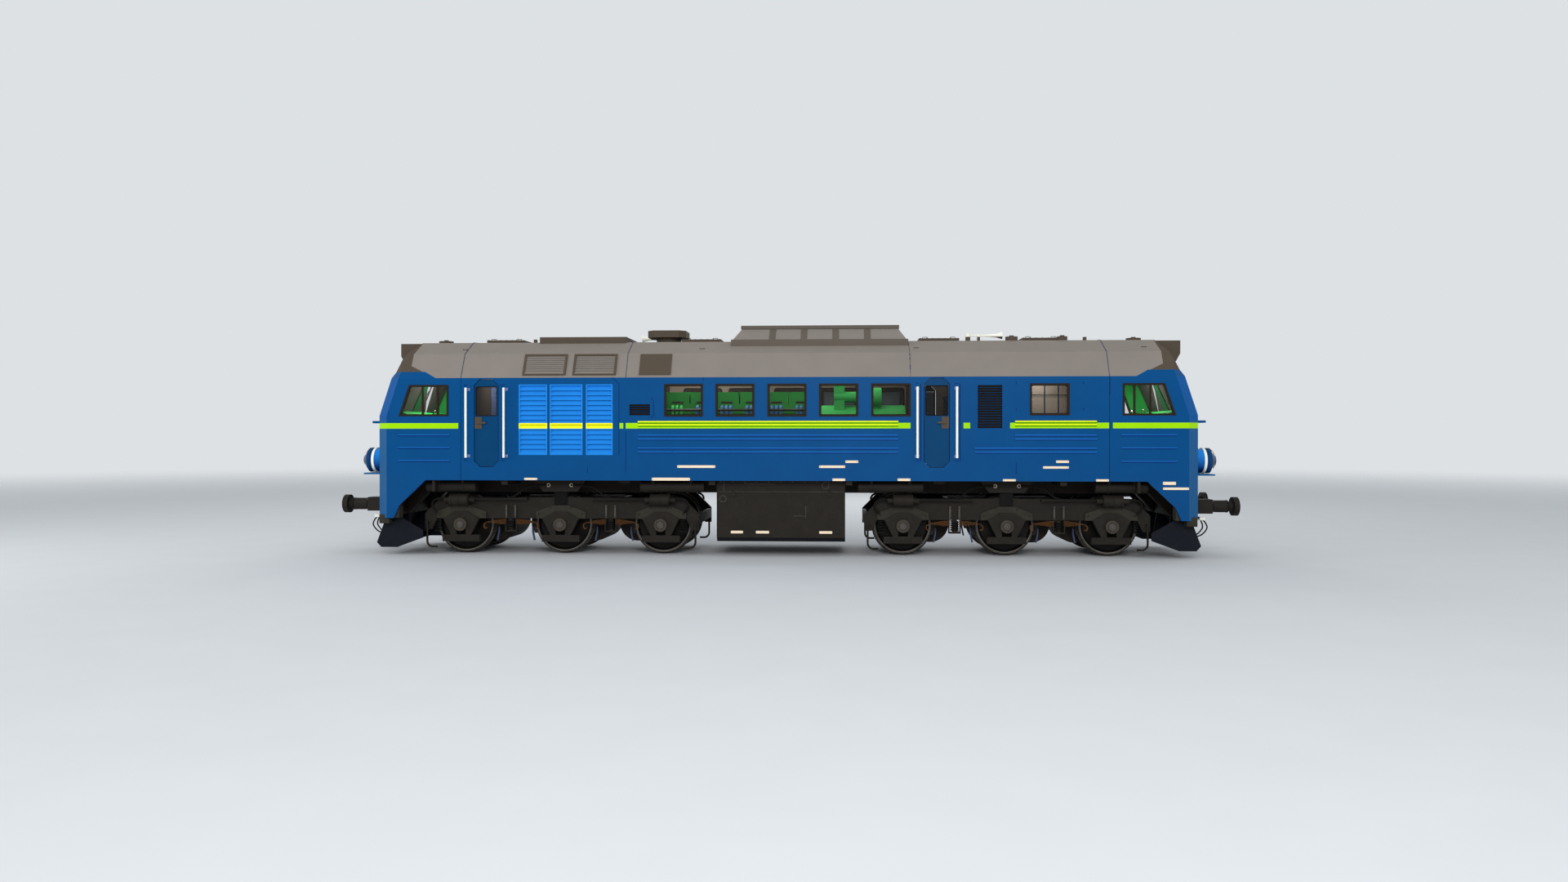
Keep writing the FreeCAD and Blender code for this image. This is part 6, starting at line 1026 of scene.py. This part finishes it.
class LOCO_OT_axle_caps(bpy.types.Operator):
    """Adds the cover, hexagon and studs on each axle box cap"""
    bl_idname = "loco.axle_caps"
    bl_label = "Axle caps"

    def execute(self, context):
        cover = [(0, 0), (0.127, -0.02), (0.127, 0.004), (0.121, 0.01), (0.086, 0.012), (0.082, 0.006),
                 (0.074, 0.006), (0, 0.008)]
        hexagon = [(0, 0.004), (0.072, 0.004), (0.072, 0.022), (0.064, 0.028), (0.042, 0.028), (0.039, 0.022),
                   (0, 0.022)]
        for body, pivot in BOGIES.items():
            caps, nuts = [], []
            for side in SIDES.values():
                axis = (0, side, 0)
                for step in AXLES:
                    spot = (pivot + step, side * 1.15, AXLE_Z)
                    caps.append(lathe(cover, spot, axis, 40))
                    # The hexagons stand turned a little differently on each axle
                    nuts.append(lathe(hexagon, spot, axis, 6, 0.2 * step))
                    nuts.append(disc(0.034, 0.03, spot, axis, 20))
                    studs = arc((pivot + step, side * 1.16, AXLE_Z), 0.104, 0.104, around(6) + 0.4)
                    nuts += [bolt(stud, axis, 0.010, 0.008) for stud in studs]
            piece(f"{body}_cap_covers", caps, "cast", body)
            piece(f"{body}_cap_nuts", nuts, "post", body)
        return {"FINISHED"}


class LOCO_OT_bogie_fittings(bpy.types.Operator):
    """Adds brake hoses and their rings, cylinder bands, hangers and bolts on the side frames"""
    bl_idname = "loco.bogie_fittings"
    bl_label = "Bogie fittings"

    def execute(self, context):
        radius = context.scene.loco_sizes.hose_radius
        hose_y, face_y, hanger_y = 1.163, 1.072, 0.73
        # From the pivot: a hose from each brake cylinder up to the floor, and one round the frame's end
        rise = np.array([(AXLE_PITCH - 0.27, hose_y, 1.10), (AXLE_PITCH - 1.06, hose_y, 1.105),
                         (0.70, 1.13, 1.31), (0.46, 1.12, 1.352), (0.25, 1.12, 1.36)])
        drop = np.array([(0.25, hose_y, 1.10), (0.47, hose_y, 1.098), (0.548, hose_y, 1.02),
                         (0.545, hose_y, 0.93), (0.45, hose_y - 0.03, 0.83)]) + (AXLE_PITCH, 0, 0)
        # From the middle between two axles: the hanger of a brake block
        reach = AXLE_PITCH / 2 - 0.645
        hanger = np.array([(reach, hanger_y, 0.82), (reach, hanger_y, 0.42), (reach + 0.035, hanger_y, 0.25)])
        stud_spots = (-0.43, 0.79), (0.43, 0.79), (-0.2, 0.92), (0.2, 0.92)
        for body, pivot in BOGIES.items():
            hoses, rings, bands, posts, bolts, blades = ([] for _ in range(6))
            for flip in QUARTERS:
                hand, side, _ = flip
                hoses.append(sweep((pivot, 0, 0) + flip * rounded(rise, 0.20, 8), circle(radius)))
                hoses.append(sweep((pivot, 0, 0) + flip * rounded(drop, 0.09), circle(radius * 1.1)))
                ring = arc((pivot + hand * 0.225, side * 1.125, 1.36), 0.03, 0.03, around(20))
                rings.append(sweep(ring, circle(0.009, 6), loop=True))
                cylinder = (pivot, 0, 0) + flip * (AXLE_PITCH, hose_y, 1.077)
                bands += [strap(0.112, 0.121, cylinder + (x, 0, 0), (1, 0, 0)) for x in (-0.16, 0, 0.16)]
                blades += [sweep((pivot + step, 0, 0) + flip * hanger, strip(0.05, 0.03))
                           for step in BETWEEN_AXLES]
            for side in SIDES.values():
                axis = (0, side, 0)
                for x in [pivot + step + hand * 0.088 for step in BETWEEN_AXLES for hand in (-1, 1)]:
                    posts.append(slab((x - 0.017, side * face_y, 0.722),
                                      (x + 0.017, side * (face_y + 0.01), 0.971)))
                    bolts += [bolt((x, side * (face_y + 0.008), z), axis, 0.011, 0.009) for z in (0.75, 0.94)]
                bolts += [bolt((pivot + step + x, side * face_y, z), axis, 0.014, 0.01)
                          for step in AXLES for x, z in stud_spots]
            piece(f"{body}_brake_hangers", blades, "conduit", body)
            piece(f"{body}_brake_hoses", hoses, "rubber", body)
            piece(f"{body}_hose_rings", rings, "brass")
            piece(f"{body}_cylinder_bands", bands, "chassis", body)
            piece(f"{body}_hanger_posts", posts, "post", body)
            piece(f"{body}_frame_bolts", bolts, "chassis", body)
        return {"FINISHED"}


# Inside


class LOCO_OT_engine_details(bpy.types.Operator):
    """Adds the pipes, clips, walkway rails and inner frames seen through the engine room windows"""
    bl_idname = "loco.engine_details"
    bl_label = "Engine details"

    def execute(self, context):
        # A pipe as (y, z): out of the rocker box, round a bend and down
        a = np.linspace(0, math.pi / 2, 8)
        bend = np.stack([0.60 + 0.08 * np.sin(a), 2.845 + 0.05 * np.cos(a)], -1)
        pipe = np.concatenate([[(0.50, 2.895)], bend, [(0.68, 2.35)]])
        first_x, cylinder_pitch, rail_y, rail_z = -2.0865, 0.4915, 0.90, 2.816
        blue_pipes, green_pipes, clips, rails, frames = ([] for _ in range(5))
        for side in SIDES.values():
            for number in range(6):
                x = first_x + number * cylinder_pitch
                pipes = [sweep(np.insert(pipe, 0, x + step, 1) * (1, side, 1), circle(0.03), (1, 0, 0))
                         for step in (-0.085, 0, 0.085)]
                (blue_pipes if number else green_pipes).extend(pipes)
                clips.append(slab((x - 0.115, side * 0.529, 2.952), (x + 0.115, side * 0.561, 2.995)))
            rails.append(sweep([(-2.45, side * rail_y, rail_z), (0.7, side * rail_y, rail_z)], circle(0.024)))
            rails += [sweep([(x, side * rail_y, 1.50), (x, side * rail_y, rail_z)], circle(0.018), (1, 0, 0))
                      for x in (-2.4, -1.34, -0.36, 0.62)]
            frames += [sweep(ring_path(window, -0.03, side * 1.408, 0.04), strip(0.02, 0.05), loop=True)
                       for window in WINDOWS]
        piece("coolant_pipes", blue_pipes, "pipe_blue")
        piece("fuel_pipes", green_pipes, "generator")
        piece("pipe_clips", clips, "window")
        piece("walkway_rails", rails, "window")
        piece("inner_window_frames", frames, "window")
        return {"FINISHED"}


class LOCO_OT_conduits(bpy.types.Operator):
    """Adds the conduits on the walls of the first lobby, seen through its door"""
    bl_idname = "loco.conduits"
    bl_label = "Conduits"

    def execute(self, context):
        # They lie on the cab's bulkhead and the far wall, outside the way through the lobby
        trunks = [slab((-6.052, 0.05, 1.50), (-6.031, 0.37, 3.50), 0.1),
                  slab((-6.052, 1.14, 1.50), (-6.031, 1.36, 3.50), 0.1),
                  slab((-5.84, 1.372, 1.50), (-5.76, 1.41, 3.40), 0.1)]
        piece("lobby_conduits", trunks, "conduit")
        return {"FINISHED"}


class LOCO_OT_cab_details(bpy.types.Operator):
    """Adds the gauges, levers, blinds and pillars of both cabs, and the board in the second lobby"""
    bl_idname = "loco.cab_details"
    bl_label = "Cab details"

    def execute(self, context):
        gauges, levers, blinds, pillars = ([] for _ in range(4))
        for end in (-1, 1):
            gauges += [disc(0.07, 0.03, (end * 7.30, y, 2.66), (-end * 0.6, 0, 0.8))
                       for y in (-0.9, -0.7, -0.5, 0.5, 0.7, 0.9)]
            for y in (-0.42, 0.42):
                run = [(end * 7.12, y, 2.55), (end * 7.10, y, 2.72), (end * 7.05, y, 2.80)]
                levers += [sweep(run, circle(0.012)), ball((end * 7.05, y, 2.81), 0.028)]
        # Blinds hang 75 mm inside the windscreens and leave a slanting gap beside the middle pillar
        z = np.linspace(2.74, 3.46, 9)
        for end, start, slope in ((-1, 0.39, 0.375), (1, 0.19, 0.738)):
            x = end * (7.725 - (z - 2.59) * 0.4536)
            left = np.maximum(0.1, 0.07 + (3.34 - z) * 0.896)
            right = np.maximum(left, start + (3.34 - z) * slope)
            spans = (-1.16, -0.16), (0.06, left), (right, 1.16)
            blinds += [hung_sheet(x, y0, y1, z, -0.004 * end) for y0, y1 in spans]
            pillars.append(hung_sheet(x, -0.17, 0.07, z, -0.022 * end))
        board = [slab((3.34, 1.372, 1.9), (3.71, 1.412, 3.16), 0.06),
                 slab((3.37, 1.364, 1.94), (3.68, 1.376, 3.12), 0.06)]
        piece("windscreen_pillars", pillars, "pillar")
        piece("windscreen_blinds", blinds, "blind")
        piece("lobby_board", board, "board")
        piece("desk_gauges", gauges, "black")
        piece("desk_levers", levers, "mirror")
        return {"FINISHED"}


# Stage


def lamp(name, place, aim, size, power):
    """A square soft box aimed at a point."""
    light = bpy.data.lights.new(name, "AREA")
    light.shape, light.size, light.energy = "SQUARE", size, power
    thing = bpy.data.objects.new(name, light)
    thing.location = place
    away = np.array(aim, float) - place
    flat = math.hypot(away[0], away[1])
    thing.rotation_euler = (math.atan2(flat, -away[2]), 0, math.atan2(away[1], away[0]) - math.pi / 2)
    bpy.context.scene.collection.objects.link(thing)


def lay_floor(scene):
    """A plain pale floor that fades into the background from 26 m outwards."""
    reach = 160.0
    mesh = bpy.data.meshes.new("floor")
    corners = [(-reach, -reach, 0), (reach, -reach, 0), (reach, reach, 0), (-reach, reach, 0)]
    mesh.from_pydata(corners, [], [(0, 1, 2, 3)])
    floor = bpy.data.objects.new("floor", mesh)
    scene.collection.objects.link(floor)
    # Matt studio floor paint: no highlight, and a grain too faint to see
    material, tree, shader = new_material("pale_studio_floor", 0.9, gloss=0.1)
    place = add(tree, "ShaderNodeTexCoord")["Object"]
    colour = toned(tree, linear("D6D9DC"), grain(tree, place, 900, 2.0), 0.99, 1.01)
    tree.links.new(colour, shader.inputs["Base Color"])
    away = add(tree, "ShaderNodeVectorMath", {0: place}, operation="LENGTH")["Value"]
    spans = {"Value": away, "From Min": 26, "From Max": 70, "To Min": 1, "To Max": 0}
    fade = add(tree, "ShaderNodeMapRange", spans, interpolation_type="SMOOTHSTEP")[0]
    tree.links.new(fade, shader.inputs["Alpha"])
    mesh.materials.append(material)


def hang_background(scene):
    """An even light, which the camera, reflections and glass see as the pale background."""
    world = bpy.data.worlds.new("studio")
    world.use_nodes = True
    tree = world.node_tree
    ray = add(tree, "ShaderNodeLightPath")
    seen = ray["Is Camera Ray"]
    for other in (ray["Is Glossy Ray"], ray["Is Transmission Ray"]):
        seen = add(tree, "ShaderNodeMath", {0: seen, 1: other}, operation="MAXIMUM")[0]
    back = tree.nodes["Background"]
    tree.links.new(layered(tree, (0.62, 0.64, 0.66, 1), (linear("DDE1E4"), seen)), back.inputs["Color"])
    back.inputs["Strength"].default_value = 1.0
    scene.world = world


class LOCO_OT_stage(bpy.types.Operator):
    """Sets the camera, the floor, the pale background and the soft boxes"""
    bl_idname = "loco.stage"
    bl_label = "Stage"

    def execute(self, context):
        scene = context.scene
        # The photograph's view: from 21.5 m off the near side, turned 3 degrees
        camera = bpy.data.cameras.new("side_camera")
        camera.sensor_width = 36
        camera.lens = scene.loco_sizes.camera_lens
        camera.clip_end = 500
        holder = bpy.data.objects.new("side_camera", camera)
        holder.location = (1.1187, -21.5389, 2.2924)
        holder.rotation_euler = (math.pi / 2 - 0.0037, 0, 0.052)
        scene.collection.objects.link(holder)
        scene.camera = holder
        lay_floor(scene)
        hang_background(scene)
        lamp("key_box", (2.0, -30.0, 13.0), (0, 0, 2.2), 10.0, 3300)
        lamp("left_box", (-22.0, -9.0, 8.0), (-5, 0, 2.0), 8.0, 800)
        lamp("right_box", (20.0, -12.0, 9.0), (4, 0, 2.0), 8.0, 150)
        lamp("back_box", (0.0, 18.0, 12.0), (0, 0, 2.0), 10.0, 700)
        for number, (x, power) in enumerate(((-1.8, 60), (0.3, 20), (1.9, 8))):
            lamp(f"engine_room_box_{number}", (x, 0.0, 3.86), (x, 0.0, 2.0), 1.2, power)
        for number, x in enumerate((-1.9, -0.8, 0.3, 1.6)):
            lamp(f"engine_side_box_{number}", (x, -1.06, 3.7), (x, -0.3, 2.8), 0.36, 7)
        lamp("lobby_box_a", (-5.5, -0.2, 3.8), (-5.5, 0.4, 2.8), 0.4, 26)
        lamp("lobby_box_b", (3.2, -0.5, 3.8), (3.2, 0.9, 2.8), 0.4, 5)
        for number, x in enumerate((-6.7, 6.7)):
            lamp(f"cab_box_{number}", (x, 0.0, 3.6), (x, 0.0, 2.0), 0.9, 55)
        lamp("cabinet_box", (4.9, -1.18, 3.5), (4.9, -0.8, 2.6), 0.3, 9)
        scene.view_settings.view_transform = "Standard"
        return {"FINISHED"}


PIECES = (
    LOCO_OT_finishes, LOCO_OT_blank_plates, LOCO_OT_joint_lines, LOCO_OT_window_seals, LOCO_OT_tank_details,
    LOCO_OT_nose_details, LOCO_OT_buffer_bolts, LOCO_OT_air_hoses, LOCO_OT_skirt_blocks, LOCO_OT_roof_details,
    LOCO_OT_springs, LOCO_OT_axle_caps, LOCO_OT_bogie_fittings, LOCO_OT_engine_details, LOCO_OT_conduits,
    LOCO_OT_cab_details, LOCO_OT_stage,
)


class LOCO_PT_panel(bpy.types.Panel):
    """Lists the steps that dress the locomotive, and its colours and sizes"""
    bl_label = "Locomotive"
    bl_idname = "LOCO_PT_panel"
    bl_space_type = "VIEW_3D"
    bl_region_type = "UI"
    bl_category = "Locomotive"

    def draw(self, context):
        for item in PIECES:
            self.layout.operator(item.bl_idname)
        for group in (context.scene.loco_paints, context.scene.loco_sizes):
            for name in group.bl_rna.properties.keys():
                if name not in {"rna_type", "name"}:
                    self.layout.prop(group, name)


CLASSES = (LocoPaints, LocoSizes, *PIECES, LOCO_PT_panel)


def register():
    for item in CLASSES:
        bpy.utils.register_class(item)
    bpy.types.Scene.loco_paints = PointerProperty(type=LocoPaints)
    bpy.types.Scene.loco_sizes = PointerProperty(type=LocoSizes)


def unregister():
    del bpy.types.Scene.loco_sizes
    del bpy.types.Scene.loco_paints
    for item in reversed(CLASSES):
        bpy.utils.unregister_class(item)


def main():
    register()
    for item in PIECES:
        group, name = item.bl_idname.split(".")
        getattr(getattr(bpy.ops, group), name)()


if __name__ == "__main__":
    main()
